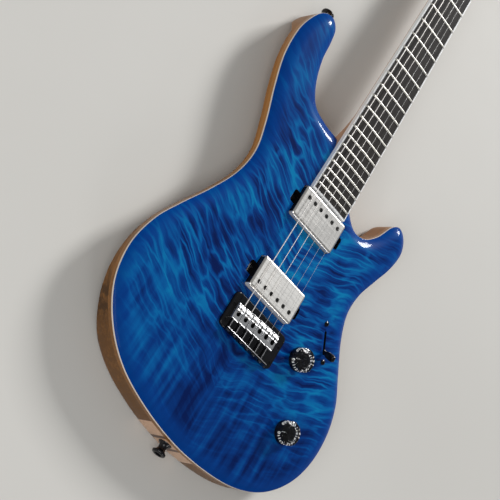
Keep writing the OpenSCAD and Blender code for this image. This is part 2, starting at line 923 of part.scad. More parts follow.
module pickup_base(y, row, z) {
  color([0.7, 0.68, 0.62]) difference() {
    translate([0, y, z - cover_h - base_t]) linear_extrude(base_t) union() {
      polygon(rounded_rect(pickup_l, pickup_w, pickup_r));
      polygon(rounded_rect(2 * (ear_x + ear_end), ear_w, 2));
    }
    pickup_poles(y, row, z - cover_h - base_t - over, z, pole_r + seat);
    for (s = [-1, 1]) {
      translate([s * ear_x, y, z - cover_h - base_t - over])
        cylinder(r = height_screw_r + seat, h = base_t + 2 * over);
    }
  }
}

module pickup_coils(y, row, z) {
  color([0.1, 0.1, 0.1]) difference() {
    union() {
      for (s = [-1, 1]) {
        translate([0, y + s * pole_row, z - cover_h]) linear_extrude(cover_h - bevel_h - sheet - slack)
          polygon(rounded_rect(pickup_l - 7, 2 * pole_row - 2.5, 6));
      }
      translate([-pickup_l / 2 + 5, y - 2, z - cover_h]) cube([pickup_l - 10, 4, 4]);
    }
    pickup_poles(y, row, z - cover_h - over, z, pole_r + seat);
  }
}

module pickup_screws(y, row, z) {
  color([0.45, 0.45, 0.46]) {
    difference() {
      pickup_poles(y, row, z - cover_h - base_t - pole_below, z + pole_proud, pole_r);
      for (i = [1:6]) {
        translate([(3.5 - i) * pole_pitch, y + row, z + pole_proud])
          rotate([0, 0, 20 * i]) cube([2 * pole_r + over, slot_cut_w, slot_cut_h], center = true);
      }
    }
    for (s = [-1, 1]) {
      translate([s * ear_x, y, z - cover_h + height_head_h])
        screw(height_head_r, height_head_h, height_screw_r, height_screw_l);
    }
  }
}

module pickup_springs(y, z) {
  z0 = cavity_z + sliver;
  z1 = z - cover_h - base_t - sliver;
  turns = 4;
  steps = 10;
  route = [
    for (k = [0:turns * steps])
      let (a = 360 * k / steps)
        [spring_r * cos(a), spring_r * sin(a), z0 + (z1 - z0) * k / (turns * steps)]
  ];
  color([0.6, 0.6, 0.6]) for (s = [-1, 1]) {
    translate([s * ear_x, y, 0]) tube(route, [for (q = route) spring_wire_r], 5, [0, 0, 1]);
  }
}

// Controls
module pot(x, y) {
  translate([x, y, 0]) difference() {
    union() {
      translate([0, 0, ceiling_z - pot_h]) cylinder(r = pot_r, h = pot_h);
      translate([0, 0, ceiling_z - over]) cylinder(r = bushing_r, h = roof_t + over + bushing_up);
    }
    translate([0, 0, ceiling_z - pot_h + 2]) cylinder(r = shaft_r + fit, h = roof_t + pot_h + bushing_up);
  }
}

module control_pots() {
  color([0.65, 0.63, 0.58]) {
    pot(volume_x, volume_y);
    pot(tone_x, tone_y);
  }
}

module control_nuts() {
  color([0.75, 0.75, 0.75]) for (p = [[volume_x, volume_y], [tone_x, tone_y]]) {
    translate([p.x, p.y, top_z]) difference() {
      union() {
        cylinder(r = nut_r + 0.9, h = 0.6);
        translate([0, 0, 0.6]) cylinder(r = nut_r, h = nut_h, $fn = 6);
      }
      translate([0, 0, -over]) cylinder(r = bushing_r + seat, h = nut_h + 3);
    }
  }
}

module control_knob(x, y) {
  r = knob_d / 2;
  color([0.05, 0.05, 0.05]) translate([x, y, top_z + knob_lift]) difference() {
    rotate_extrude($fn = 96) polygon([
      [0, 0], [r, 0], [r, knob_foot], [r - knob_taper, knob_h - knob_slope - knob_edge],
      [r - knob_taper - knob_edge, knob_h - knob_slope], [r - knob_ring, knob_h],
      [r - knob_ring - knob_dish, knob_h - knob_dish], [0, knob_h - knob_dish]
    ]);
    translate([0, 0, -over]) cylinder(r = nut_r + 1.6, h = knob_nut_room + over);
    translate([0, 0, -over]) cylinder(r = shaft_r, h = shaft_up - knob_lift + over);
  }
}

module control_shaft(x, y) {
  z0 = ceiling_z - pot_h + 2 + seat;
  color([0.7, 0.7, 0.7]) translate([x, y, z0]) cylinder(r = shaft_r, h = top_z + shaft_up - z0);
}

module switch_place() {
  translate([switch_x, switch_y, 0]) rotate([0, 0, switch_turn]) children();
}

module lever_place() {
  switch_place() translate([0, 0, top_z - pivot_drop]) rotate([0, switch_tilt, 0]) children();
}

module switch_frame() {
  color([0.6, 0.58, 0.5]) switch_place() {
    difference() {
      union() {
        translate([-frame_l / 2, -frame_w / 2, ceiling_z - frame_t]) cube([frame_l, frame_w, frame_t]);
        for (s = [-1, 1]) {
          translate([-cheek_l / 2, s * frame_w / 2 - (s > 0 ? frame_t : 0), ceiling_z - frame_depth])
            cube([cheek_l, frame_t, frame_depth]);
        }
        translate([0, frame_w / 2 - over / 2, top_z - pivot_drop]) rotate([90, 0, 0])
          cylinder(r = pin_r, h = frame_w - over);
      }
      translate([-pivot_drop * tan(switch_tilt) - lever_w, -slot_w / 2, ceiling_z - frame_t - over])
        cube([2 * (pivot_drop * tan(switch_tilt) + lever_w), slot_w, frame_t + 2 * over]);
      for (s = [-1, 1]) {
        translate([s * switch_screw_pitch / 2, 0, ceiling_z - frame_t - over])
          cylinder(r = switch_screw_r + seat, h = frame_t + 2 * over);
      }
    }
  }
}

module switch_lever() {
  color([0.75, 0.75, 0.75]) lever_place() difference() {
    union() {
      translate([-lever_w / 2, -lever_t / 2, 0]) cube([lever_w, lever_t, lever_l]);
      translate([0, lever_hub_w / 2, 0]) rotate([90, 0, 0]) cylinder(r = lever_hub_r, h = lever_hub_w);
    }
    translate([0, lever_hub_w, 0]) rotate([90, 0, 0]) cylinder(r = pin_r + fit, h = 2 * lever_hub_w);
  }
}

module switch_tip() {
  color([0.06, 0.06, 0.06]) lever_place() difference() {
    translate([0, 3, 0]) rotate([90, 0, 0]) linear_extrude(6) polygon([
      [-3, tip_from], [3, tip_from], [tip_w / 2, tip_from + 6], [tip_w / 2 - 0.6, tip_to - 1.5],
      [tip_w / 2 - 2, tip_to], [-tip_w / 2 + 2, tip_to], [-tip_w / 2 + 0.6, tip_to - 1.5],
      [-tip_w / 2, tip_from + 6]
    ]);
    translate([-lever_w / 2, -lever_t / 2, 0]) cube([lever_w, lever_t, lever_l]);
  }
}

module output_jack() {
  color([0.7, 0.7, 0.7]) side_place(jack_point, side_z) difference() {
    union() {
      translate([0, 0, -jack_l]) cylinder(r = jack_r, h = jack_l);
      translate([0, 0, -jack_flange_t]) cylinder(r = jack_flange_r, h = jack_flange_t);
      cylinder(r = jack_nut_r, h = jack_nut_h, $fn = 6);
    }
    translate([0, 0, jack_floor - jack_l]) cylinder(d = jack_bore, h = jack_l + 5);
  }
}

module control_cover() {
  color([0.07, 0.07, 0.07]) difference() {
    linear_extrude(cover_t) control_plan(ledge);
    for (c = cavity_circles) {
      cover_screw_place(c) translate([0, 0, -over]) {
        cylinder(r = cover_screw_r + seat, h = cover_t + 2 * over);
        cylinder(r = cover_head_r + 2 * seat, h = over + cover_head_in + cover_head_h);
      }
    }
  }
}

module strap_button() {
  difference() {
    rotate_extrude() polygon([
      [0, -button_sunk], [button_r, -button_sunk], [button_r, 0.4], [4.6, 3.5], [4.2, 6.5], [5, 8.5],
      [button_r, 10], [button_r, button_l - 1.2], [button_r - 1.2, button_l], [0, button_l]
    ]);
    translate([0, 0, -5]) cylinder(r = button_screw_r + seat, h = button_l + 10);
    translate([0, 0, button_l - button_head_h - over]) cylinder(r = button_head_r + 2 * seat, h = 5);
  }
}

module strap_buttons() {
  color([0.06, 0.06, 0.06]) {
    side_place(0, side_z) strap_button();
    side_place(horn_point, side_z) strap_button();
  }
}

// Bridge
module bridge_base() {
  depth = bridge_front - bridge_rear;
  color([0.06, 0.06, 0.06]) translate([0, 0, top_z]) difference() {
    union() {
      translate([bridge_shift, bridge_rear + depth / 2, 0]) linear_extrude(bridge_floor)
        polygon(rounded_rect(bridge_w, depth, bridge_corner));
      translate([bridge_shift - lip_w / 2, bridge_rear, 0]) cube([lip_w, bridge_wall, bridge_wall_h]);
    }
    for (i = [1:6]) {
      translate([string_x(i), hole_y(i) + 0.8, -over]) linear_extrude(bridge_floor + 2 * over)
        polygon(rounded_rect(2 * string_hole, 2 * string_hole + 2, string_hole / 1.1));
      translate([string_x(i), bridge_rear - over, intonation_z - top_z]) rotate([-90, 0, 0])
        cylinder(r = intonation_r + seat, h = bridge_wall + 2 * over);
    }
    for (p = bridge_screw_places) {
      translate([p.x, p.y, -over]) cylinder(r = bridge_screw_r + seat, h = bridge_floor + 2 * over);
      translate([p.x, p.y, bridge_floor - bridge_head_h])
        cylinder(r = bridge_head_r + 2 * seat, h = bridge_floor);
    }
  }
}

module saddle(i) {
  top = string_z(i) - string_r[i - 1] - slack;
  low = floor_z + slack;
  color([0.82, 0.82, 0.82]) translate([string_x(i), saddle_y(i), 0]) {
    difference() {
      rotate([90, 0, 90]) translate([0, 0, -saddle_w / 2]) linear_extrude(saddle_w) polygon([
        [saddle_front, low], [saddle_front, top - saddle_nose], [saddle_front - 0.8, top - saddle_slope],
        [-slot_front - 1.2, top], [-string_bend, top], [-string_bend - 0.8, top - saddle_step],
        [-slot_rear, top - saddle_heel], [saddle_front - saddle_l, top - saddle_tail],
        [saddle_front - saddle_l, low]
      ]);
      translate([0, -(slot_front + slot_rear) / 2, low - over]) linear_extrude(20)
        polygon(rounded_rect(2 * string_hole, slot_rear - slot_front, string_hole / 1.1));
      translate([0, sliver - slot_rear, intonation_z]) rotate([90, 0, 0])
        cylinder(r = intonation_r + slack, h = saddle_l);
      for (s = [-1, 1]) {
        translate([s * height_set_x, height_set_y, low - over]) cylinder(r = height_set_r + seat, h = 20);
      }
    }
    for (s = [-1, 1]) {
      translate([s * height_set_x, height_set_y, floor_z + fit])
        cylinder(r = height_set_r, h = top - floor_z - 2 * slack - height_set_drop);
    }
  }
}

module intonation_screws() {
  color([0.1, 0.1, 0.1]) for (i = [1:6]) {
    tip = saddle_y(i) - intonation_reach;
    translate([string_x(i), bridge_rear, intonation_z]) rotate([-90, 0, 0]) {
      translate([0, 0, -intonation_head_h]) cylinder(r = intonation_head_r, h = intonation_head_h);
      translate([0, 0, -seat]) cylinder(r = intonation_r, h = tip - bridge_rear + seat);
    }
  }
}

module strings() {
  color([0.8, 0.78, 0.72]) for (i = [1:6]) {
    r = string_r[i - 1];
    side = tuner_side(i);
    far_x = side * (post_x - post_r - 2 * wrap_r - slack - r);
    low = [string_x(i), hole_y(i), 1];
    route = [
      low, low + [0, 0, ball_h], low + [0, 0, ball_h + 0.2], [low.x, low.y, floor_z],
      [low.x, saddle_y(i) - string_bend, string_z(i)], [nut_x(i), scale_length, nut_z(i)],
      [nut_x(i), neck_end_y, nut_z(i)], [far_x, tuner_y(i), wrap_z(i)]
    ];
    tube(route, [ball_r, ball_r, r, r, r, r, r, r]);
  }
}

module string_ferrules() {
  color([0.8, 0.8, 0.8]) for (i = [1:6]) {
    translate([string_x(i), hole_y(i), 0]) difference() {
      cylinder(r = ferrule_r, h = ferrule_h);
      translate([0, 0, -over]) cylinder(r = string_hole, h = ferrule_h + 2 * over);
      translate([0, 0, -over]) cylinder(r = ball_r + slack, h = over + ball_h + 1.4);
    }
  }
}

// Tuners, drawn for the treble side and mirrored for the bass side
module tuner_place(i) {
  translate([0, tuner_y(i), 0]) mirror([tuner_side(i) < 0 ? 1 : 0, 0, 0])
    translate([post_x, 0, 0]) children();
}

module tuner_housing() {
  z0 = head_back - housing_h;
  worm_z = head_back - worm_drop;
  difference() {
    union() {
      translate([0.5, 1.6, z0]) linear_extrude(housing_h) polygon(rounded_rect(17, 21, 4));
      translate([0, tuner_screw_y, head_back - tuner_lug_t]) cylinder(r = tuner_lug_r, h = tuner_lug_t);
    }
    translate([0, 0, worm_z - gear_t / 2 - slack]) cylinder(r = gear_r + worm_lobe + slack, h = housing_h);
    translate([-worm_l / 2 - slack, worm_offset, worm_z]) rotate([0, 90, 0])
      cylinder(r = worm_r + worm_lobe + slack, h = worm_l + 2 * slack);
    translate([-worm_l / 2 - 3, worm_offset, worm_z]) rotate([0, 90, 0])
      cylinder(r = worm_shaft_r + fit, h = worm_l + 20);
    translate([0, tuner_screw_y, head_back - 2 * tuner_lug_t])
      cylinder(r = tuner_screw_r + seat, h = 3 * tuner_lug_t);
  }
}

module tuner_housings() {
  color([0.15, 0.15, 0.16]) for (i = [1:6]) {
    tuner_place(i) tuner_housing();
  }
}

module tuner_bushings() {
  color([0.15, 0.15, 0.16]) for (i = [1:6]) {
    tuner_place(i) difference() {
      union() {
        translate([0, 0, head_back + bush_from])
          cylinder(r = bush_r, h = head_face - head_back - bush_from + over);
        translate([0, 0, head_face]) cylinder(r = bush_nut_r, h = bush_nut_h, $fn = 6);
      }
      translate([0, 0, head_back]) cylinder(r = post_r + fit, h = 40);
    }
  }
}

module tuner_button(i) {
  turn = 360 * worm_l / worm_pitch;
  color([0.15, 0.15, 0.16]) tuner_place(i) translate([0, worm_offset, head_back - worm_drop]) {
    rotate([0, 90, 0]) rotate([0, 0, turn / 2 - 90])
      linear_extrude(worm_l, twist = turn, center = true, slices = 30, $fn = 14)
        translate([worm_lobe, 0]) circle(r = worm_r);
    translate([-worm_l / 2 - 2.5, 0, 0]) rotate([0, 90, 0])
      cylinder(r = worm_shaft_r, h = worm_l / 2 + 4.5 + button_from);
    translate([button_from - 2.5, 0, 0]) rotate([0, 90, 0]) cylinder(r1 = 2.6, r2 = 3.4, h = 3);
    translate([button_from + button_wide / 2, 0, -button_thick / 2]) linear_extrude(button_thick)
      polygon(rounded_rect(button_wide, button_len, button_round));
  }
}

module tuner_post(i) {
  worm_z = head_back - worm_drop;
  top = head_face + post_rise - tuner_row(i) * post_step;
  mean = gear_r - gear_clear;
  teeth = [
    for (k = [0:6 * gear_teeth - 1])
      let (a = 360 * k / (6 * gear_teeth))
        (mean - worm_lobe * cos(gear_teeth * (a - 90))) * [cos(a), sin(a)]
  ];
  color([0.75, 0.75, 0.76]) tuner_place(i) {
    translate([0, 0, worm_z - gear_t / 2]) linear_extrude(gear_t) polygon(teeth);
    translate([0, 0, worm_z - gear_t / 2]) cylinder(r = post_r, h = top - worm_z + gear_t / 2);
    for (k = [-1:1]) {
      translate([0, 0, wrap_z(i) + k * 2.2 * wrap_r]) rotate_extrude()
        translate([post_r + 0.2, 0]) circle(r = wrap_r + 0.15, $fn = 16);
    }
  }
}

module tuner_screw_holes() {
  for (i = [1:6]) {
    tuner_place(i) translate([0, tuner_screw_y, head_back - over])
      cylinder(r = tuner_screw_r + seat, h = tuner_screw_l);
  }
}

// Fasteners and wires
module mounting_screws() {
  color([0.5, 0.5, 0.5]) {
    for (p = bridge_screw_places) {
      translate([p.x, p.y, floor_z]) screw(bridge_head_r, bridge_head_h, bridge_screw_r, bridge_screw_l);
    }
    switch_place() for (s = [-1, 1]) {
      translate([s * switch_screw_pitch / 2, 0, top_z + switch_head_h])
        screw(switch_head_r, switch_head_h, switch_screw_r, roof_t + frame_t);
    }
    for (c = cavity_circles) {
      cover_screw_place(c) translate([0, 0, cover_head_in]) rotate([180, 0, 0])
        screw(cover_head_r, cover_head_h, cover_screw_r, cover_screw_l);
    }
    for (p = truss_screws) {
      translate([p.x, p.y, head_face + truss_cover_t + truss_head_h])
        screw(truss_head_r, truss_head_h, truss_screw_r, truss_screw_l);
    }
    for (i = [1:6]) {
      tuner_place(i) translate([0, tuner_screw_y, head_back - tuner_lug_t - tuner_head_h]) rotate([180, 0, 0])
        screw(tuner_head_r, tuner_head_h, tuner_screw_r, tuner_screw_l);
    }
    for (index = [0, horn_point]) {
      side_place(index, side_z) translate([0, 0, button_l - over])
        screw(button_head_r, button_head_h, button_screw_r, button_l + button_screw_in - over);
    }
  }
}

module wiring() {
  z = cavity_z + lead_r;
  pickup_lead = [
    [lead_x, neck_pickup_y - 12, z], [lead_x, bridge_pickup_y + 20, z],
    [lead_x + 1, bridge_pickup_y, z - 1], [lead_x + 14, bridge_pickup_y - 10.5, z],
    [volume_x - 14, volume_y + 10, z],
    [volume_x - 9.5, volume_y + 9.5, ceiling_z - 6]
  ];
  link = [
    [volume_x + 10, volume_y - 9, ceiling_z - 5], [volume_x + 14, volume_y - 22, 18],
    [tone_x - 10, tone_y + 22, 18], [tone_x - 5, tone_y + 12.2, ceiling_z - 5]
  ];
  color([0.1, 0.1, 0.1]) {
    tube(pickup_lead, [for (q = pickup_lead) 1.1], 8, [0, 0, 1]);
    tube(link, [for (q = link) 0.8], 8, [0, 0, 1]);
  }
}

function wanted(name) = node == "all" || node == name;

if (wanted("neck_through_core")) neck_through_core();
if (wanted("bass_wing")) bass_wing();
if (wanted("treble_wing")) treble_wing();
if (wanted("top_plate")) top_plate();
if (wanted("body_binding")) body_binding();
if (wanted("fretboard")) fretboard();
if (wanted("fretboard_binding")) fretboard_binding();
if (wanted("frets")) frets();
if (wanted("nut")) nut();
if (wanted("truss_rod")) truss_rod();
if (wanted("truss_rod_cover")) truss_rod_cover();
if (wanted("headstock_veneer")) headstock_veneer();
if (wanted("neck_pickup_cover")) pickup_cover(neck_pickup_y, neck_row, neck_pickup_z);
if (wanted("neck_pickup_base")) pickup_base(neck_pickup_y, neck_row, neck_pickup_z);
if (wanted("neck_pickup_coils")) pickup_coils(neck_pickup_y, neck_row, neck_pickup_z);
if (wanted("neck_pickup_screws")) pickup_screws(neck_pickup_y, neck_row, neck_pickup_z);
if (wanted("neck_pickup_springs")) pickup_springs(neck_pickup_y, neck_pickup_z);
if (wanted("bridge_pickup_cover")) pickup_cover(bridge_pickup_y, bridge_row, bridge_pickup_z);
if (wanted("bridge_pickup_base")) pickup_base(bridge_pickup_y, bridge_row, bridge_pickup_z);
if (wanted("bridge_pickup_coils")) pickup_coils(bridge_pickup_y, bridge_row, bridge_pickup_z);
if (wanted("bridge_pickup_screws")) pickup_screws(bridge_pickup_y, bridge_row, bridge_pickup_z);
if (wanted("bridge_pickup_springs")) pickup_springs(bridge_pickup_y, bridge_pickup_z);
if (wanted("control_pots")) control_pots();
if (wanted("control_nuts")) control_nuts();
if (wanted("volume_knob")) control_knob(volume_x, volume_y);
if (wanted("volume_shaft")) control_shaft(volume_x, volume_y);
if (wanted("tone_knob")) control_knob(tone_x, tone_y);
if (wanted("tone_shaft")) control_shaft(tone_x, tone_y);
if (wanted("switch_frame")) switch_frame();
if (wanted("switch_lever")) switch_lever();
if (wanted("switch_tip")) switch_tip();
if (wanted("output_jack")) output_jack();
if (wanted("control_cover")) control_cover();
if (wanted("strap_buttons")) strap_buttons();
if (wanted("bridge_base")) bridge_base();
for (i = [1:6]) {
  if (wanted(str("saddle_", i))) saddle(i);
  if (wanted(str("tuner_button_", i))) tuner_button(i);
  if (wanted(str("tuner_post_", i))) tuner_post(i);
}
if (wanted("intonation_screws")) intonation_screws();
if (wanted("strings")) strings();
if (wanted("string_ferrules")) string_ferrules();
if (wanted("tuner_housings")) tuner_housings();
if (wanted("tuner_bushings")) tuner_bushings();
if (wanted("mounting_screws")) mounting_screws();
if (wanted("wiring")) wiring();
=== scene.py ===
import math

import bmesh
import bpy
import numpy as np
from mathutils import Matrix, Vector
from mathutils.geometry import convex_hull_2d, delaunay_2d_cdt


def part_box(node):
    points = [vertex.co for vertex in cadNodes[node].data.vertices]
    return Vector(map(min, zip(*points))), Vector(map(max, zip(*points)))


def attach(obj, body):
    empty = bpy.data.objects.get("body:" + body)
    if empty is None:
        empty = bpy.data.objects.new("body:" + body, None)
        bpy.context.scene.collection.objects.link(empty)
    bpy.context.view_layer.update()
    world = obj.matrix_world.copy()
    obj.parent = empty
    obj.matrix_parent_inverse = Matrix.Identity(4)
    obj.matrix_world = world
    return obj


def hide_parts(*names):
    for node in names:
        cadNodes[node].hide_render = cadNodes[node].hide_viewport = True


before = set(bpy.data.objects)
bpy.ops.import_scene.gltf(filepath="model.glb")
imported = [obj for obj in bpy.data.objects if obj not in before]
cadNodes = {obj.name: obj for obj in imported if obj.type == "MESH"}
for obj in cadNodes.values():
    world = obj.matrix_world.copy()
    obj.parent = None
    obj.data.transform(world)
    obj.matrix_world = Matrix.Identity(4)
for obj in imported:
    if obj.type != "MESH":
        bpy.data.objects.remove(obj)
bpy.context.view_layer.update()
scene = bpy.context.scene
scene.view_settings.view_transform = "Standard"
mm = 0.001  # the pieces below are drawn in millimetres
print("frame loaded:", len(cadNodes), "nodes")

# Camera and light

photo = {
    "place": (-730.7, -496.7, 1079.0),
    "aim": (-50.6, 49.4, 41.0),
    "roll": 90.4,
    "lens": 96.37,
    "sensor": 36.0,
    "clipEnd": 50.0,
}
camera = bpy.data.objects.new("photoCamera", bpy.data.cameras.new("photoCamera"))
camera.data.lens = photo["lens"]
camera.data.sensor_width = photo["sensor"]
camera.data.clip_end = photo["clipEnd"]
sight = Vector(photo["aim"]) - Vector(photo["place"])
turn = sight.to_track_quat("-Z", "Y").to_matrix() @ Matrix.Rotation(math.radians(photo["roll"]), 3, "Z")
camera.matrix_world = Matrix.Translation(Vector(photo["place"]) * mm) @ turn.to_4x4()
scene.collection.objects.link(camera)
scene.camera = camera

studio = {  # metres
    "floorSize": 9.0,
    "floorGap": 0.0004,
    "world": (0.93, 0.96, 1.0),
    "worldStrength": 0.2,
    "target": (-0.02, 0.08, 0.03),
}
softboxes = {  # place in metres, width, height, watts
    "glintBox": ((1.456, 3.266, 1.866), 0.99, 0.99, 152.0),
    "frontBox": ((-1.15, -1.1, 1.55), 1.6, 1.6, 26.0),
    "lowBox": ((1.06, -1.5, 0.76), 0.6, 0.5, 5.0),
}
for name, (place, width, height, watts) in softboxes.items():
    lamp = bpy.data.lights.new(name, "AREA")
    lamp.shape = "RECTANGLE"
    lamp.size = width
    lamp.size_y = height
    lamp.energy = watts
    box = bpy.data.objects.new(name, lamp)
    box.location = place
    box.rotation_euler = (Vector(studio["target"]) - Vector(place)).to_track_quat("-Z", "Y").to_euler()
    scene.collection.objects.link(box)
scene.world = bpy.data.worlds.new("studio")
scene.world.use_nodes = True
backing = scene.world.node_tree.nodes["Background"]
backing.inputs["Color"].default_value = (*studio["world"], 1)
backing.inputs["Strength"].default_value = studio["worldStrength"]
print("camera and light set")

# Shader wiring


class Wire:  # a shader socket that adds Math nodes when it is used in a sum
    def __init__(self, tree, socket=None):
        self.tree = tree
        self.socket = socket

    def node(self, kind, settings=None, inputs=None, output=0):
        made = self.tree.nodes.new("ShaderNode" + kind)
        for key, value in (settings or {}).items():
            if key == "stops":
                while len(made.color_ramp.elements) < len(value):
                    made.color_ramp.elements.new(0.5)
                for stop, (at, tint) in zip(made.color_ramp.elements, value):
                    stop.position = at
                    stop.color = (*tint, 1)
            else:
                setattr(made, key, value)
        for key, value in (inputs or {}).items():
            if isinstance(value, Wire):
                self.tree.links.new(value.socket, made.inputs[key])
            else:
                made.inputs[key].default_value = value
        return Wire(self.tree, made.outputs[output])

    def maths(self, operation, first, second=0.0):
        return self.node("Math", {"operation": operation}, {0: first, 1: second})

    def vectors(self, operation, first, second, output=0):
        return self.node("VectorMath", {"operation": operation}, {0: first, 1: second}, output)

    def __add__(self, other):
        return self.maths("ADD", self, other)

    def __radd__(self, other):
        return self.maths("ADD", other, self)

    def __sub__(self, other):
        return self.maths("SUBTRACT", self, other)

    def __rsub__(self, other):
        return self.maths("SUBTRACT", other, self)

    def __mul__(self, other):
        return self.maths("MULTIPLY", self, other)

    def __rmul__(self, other):
        return self.maths("MULTIPLY", other, self)

    def __abs__(self):
        return self.maths("ABSOLUTE", self)

    def least(self, limit):
        return self.maths("MINIMUM", self, limit)

    def step(self, low, high):  # 0 below low, 1 above high, smooth between
        settings = {"interpolation_type": "SMOOTHSTEP"}
        return self.node("MapRange", settings, {"Value": self, "From Min": low, "From Max": high})

    def ramp(self, *stops):
        return self.node("ValToRGB", {"stops": stops}, {0: self})

    def blend(self, first, second):  # colours, by this socket's value
        colours = [c if isinstance(c, Wire) else (*c, 1) for c in (first, second)]
        return self.node("Mix", {"data_type": "RGBA"}, {0: self, 6: colours[0], 7: colours[1]}, 2)

    def stretch(self, x, y, z):  # a vector, scaled along each axis
        return self.vectors("MULTIPLY", self, (x, y, z))

    def shift(self, other, amount):  # a vector, pushed by a noise colour
        push = self.vectors("MULTIPLY", self.vectors("SUBTRACT", other, (0.5, 0.5, 0.5)), amount)
        return self.vectors("ADD", self, push)

    def distance(self, spot):
        return self.vectors("DISTANCE", self, spot, 1)

    def noise(self, scale, detail=2.0, rough=0.5, output=0):
        values = {"Vector": self, "Scale": scale, "Detail": detail, "Roughness": rough}
        return self.node("TexNoise", None, values, output)

    def voronoi(self, feature, inputs):
        return self.node("TexVoronoi", {"feature": feature}, {"Vector": self, "Scale": 1.0, **inputs})

    def axes(self):
        return [self.node("SeparateXYZ", None, {0: self}, k) for k in range(3)]


def finish(name, paint):
    material = bpy.data.materials.new(name)
    material.use_nodes = True
    tree = material.node_tree
    shader = tree.nodes["Principled BSDF"]
    place = Wire(tree).node("TexCoord", output="Object").stretch(1 / mm, 1 / mm, 1 / mm)
    for key, value in paint(place).items():
        if key == "Bump":
            height, strength, distance = value
            inputs = {"Height": height, "Strength": strength, "Distance": distance * mm}
            tree.links.new(place.node("Bump", None, inputs).socket, shader.inputs["Normal"])
        elif isinstance(value, Wire):
            tree.links.new(value.socket, shader.inputs[key])
        else:
            shader.inputs[key].default_value = (*value, 1) if isinstance(value, tuple) else value
    return material


# Finishes

quilt = {
    "stops": (
        (0.10, (0.0002, 0.009, 0.075)),
        (0.32, (0.0004, 0.034, 0.185)),
        (0.56, (0.0008, 0.090, 0.300)),
        (0.90, (0.0020, 0.175, 0.390)),
    ),
    "rim": (0.0003, 0.045, 0.245),
    "rimReach": (2.0, 24.0),
    "rimDrift": 16.0,
    "rimShare": 0.8,
    "cellLong": 42.0,
    "cellShort": 9.0,
    "slant": 0.36,
    "slowScale": 0.014,
    "slowPush": (50, 30, 0),
    "quickScale": 0.06,
    "quickPush": (14, 6, 0),
    "ripple": (0.022, 0.29, 0),
    "streak": (0.11, 0.008, 0),
    "broadScale": 0.013,
    "patchScale": 0.024,
    "patchReach": (0.34, 0.6),
    "seamReach": (0.0, 0.14),
    "weights": {"puffs": 0.55, "lines": 0.34, "ripple": 0.9, "broad": 1.1, "streak": 0.9},
    "upperY": (-125, 10),  # the figure grows over this stretch
    "hornY": (170, 245),  # and calms down over this one
    "sideX": (-150, 150),  # the lower part darkens to the treble side
    "tone": 0.375,
    "shades": {"upper": 0.085, "side": 0.38, "glow": 0.11},
    "glowAt": (-95, -45, 41),
    "glowReach": (15, 110),
}


def figuredBlue(place):
    x, y, _ = place.axes()
    leaf = place.node("CombineXYZ", None, {0: abs(x), 1: y - abs(x) * quilt["slant"], 2: 0.0})  # mirrored
    slow = leaf.noise(quilt["slowScale"], output=1)
    quick = leaf.noise(quilt["quickScale"], rough=0.55, output=1)
    flow = leaf.shift(slow, quilt["slowPush"]).shift(quick, quilt["quickPush"])
    cells = flow.stretch(1 / quilt["cellLong"], 1 / quilt["cellShort"], 0)
    seams = cells.voronoi("DISTANCE_TO_EDGE", {})
    puffs = cells.voronoi("SMOOTH_F1", {"Smoothness": 0.2})
    ripple = flow.stretch(*quilt["ripple"]).noise(1.0, 3.0, 0.6)
    broad = place.stretch(1, 0.75, 1).noise(quilt["broadScale"])
    patch = leaf.noise(quilt["patchScale"])
    streak = place.stretch(*quilt["streak"]).noise(1.0)
    upper = y.step(*quilt["upperY"])
    lower = 1 - upper
    amount = (upper * 0.85 + 0.15) * (1 - y.step(*quilt["hornY"]) * 0.5)
    glow = 1 - place.distance(quilt["glowAt"]).step(*quilt["glowReach"])
    side = x.step(*quilt["sideX"]) * lower
    shades, weights = quilt["shades"], quilt["weights"]
    tone = quilt["tone"] - upper * shades["upper"] - side * shades["side"] + glow * shades["glow"]
    lines = (1 - seams.step(*quilt["seamReach"])) * patch.step(*quilt["patchReach"])
    figure = (puffs - 0.42) * weights["puffs"] + lines * weights["lines"]
    figure = (figure + (ripple - 0.5) * weights["ripple"]) * amount + (broad - 0.5) * weights["broad"]
    figure = figure + (streak - 0.5) * weights["streak"] * lower + tone
    rim = place.node("Attribute", {"attribute_name": "rim"}, output=2)
    burst = 1 - (rim + (broad - 0.5) * quilt["rimDrift"]).step(*quilt["rimReach"])
    return {
        "Base Color": (burst * quilt["rimShare"]).blend(figure.ramp(*quilt["stops"]), quilt["rim"]),
        "Roughness": 0.34 - figure * 0.06,
        "Coat Weight": rim.step(1.0, 8.0) * 0.24 + 0.06,
        "Coat Roughness": 0.03,
        "Specular IOR Level": 0.03,
    }


def grain(place, across=0.35, along=0.012):
    warped = place.shift(place.noise(0.01, 2.0, 0.5, 1), (9, 40, 9))
    return warped.stretch(across, along, across).noise(1.0, 4.0, 0.6)


def wood(name, pale, dark, gloss, coat, streakSpot=None):
    def paint(place):
        fibre = grain(place)
        pores = grain(place, 1.6, 0.03)
        paintedLightToNeck = place.axes()[1].step(-130, 210)  # painted light: paler towards the neck, as the horn's sides are more lit than the lower bout's
        tone = fibre * 0.75 + place.noise(0.012) * 0.45 - 0.32 + paintedLightToNeck * 0.5
        flecks = pores.step(0.62, 0.78) * 0.35
        if streakSpot:  # darker streaks round one spot on the side
            bands = place.stretch(0.03, 0.12, 0.1).noise(1.0, 4.0, 0.65)
            spot = 1 - place.distance(streakSpot["at"]).step(streakSpot["near"], streakSpot["far"])
            flecks = (flecks + spot * bands.step(0.44, 0.6)).least(0.85)
        colour = tone.ramp((0.25, dark), (0.72, pale))
        return {
            "Base Color": flecks.blend(colour, tuple(c * 0.45 for c in dark)),
            "Roughness": gloss + fibre * 0.15,
            "Coat Weight": coat,
            "Coat Roughness": 0.15,
            "Specular IOR Level": 0.2,
            "Bump": (pores, 0.12, 0.05),
        }
    return finish(name, paint)


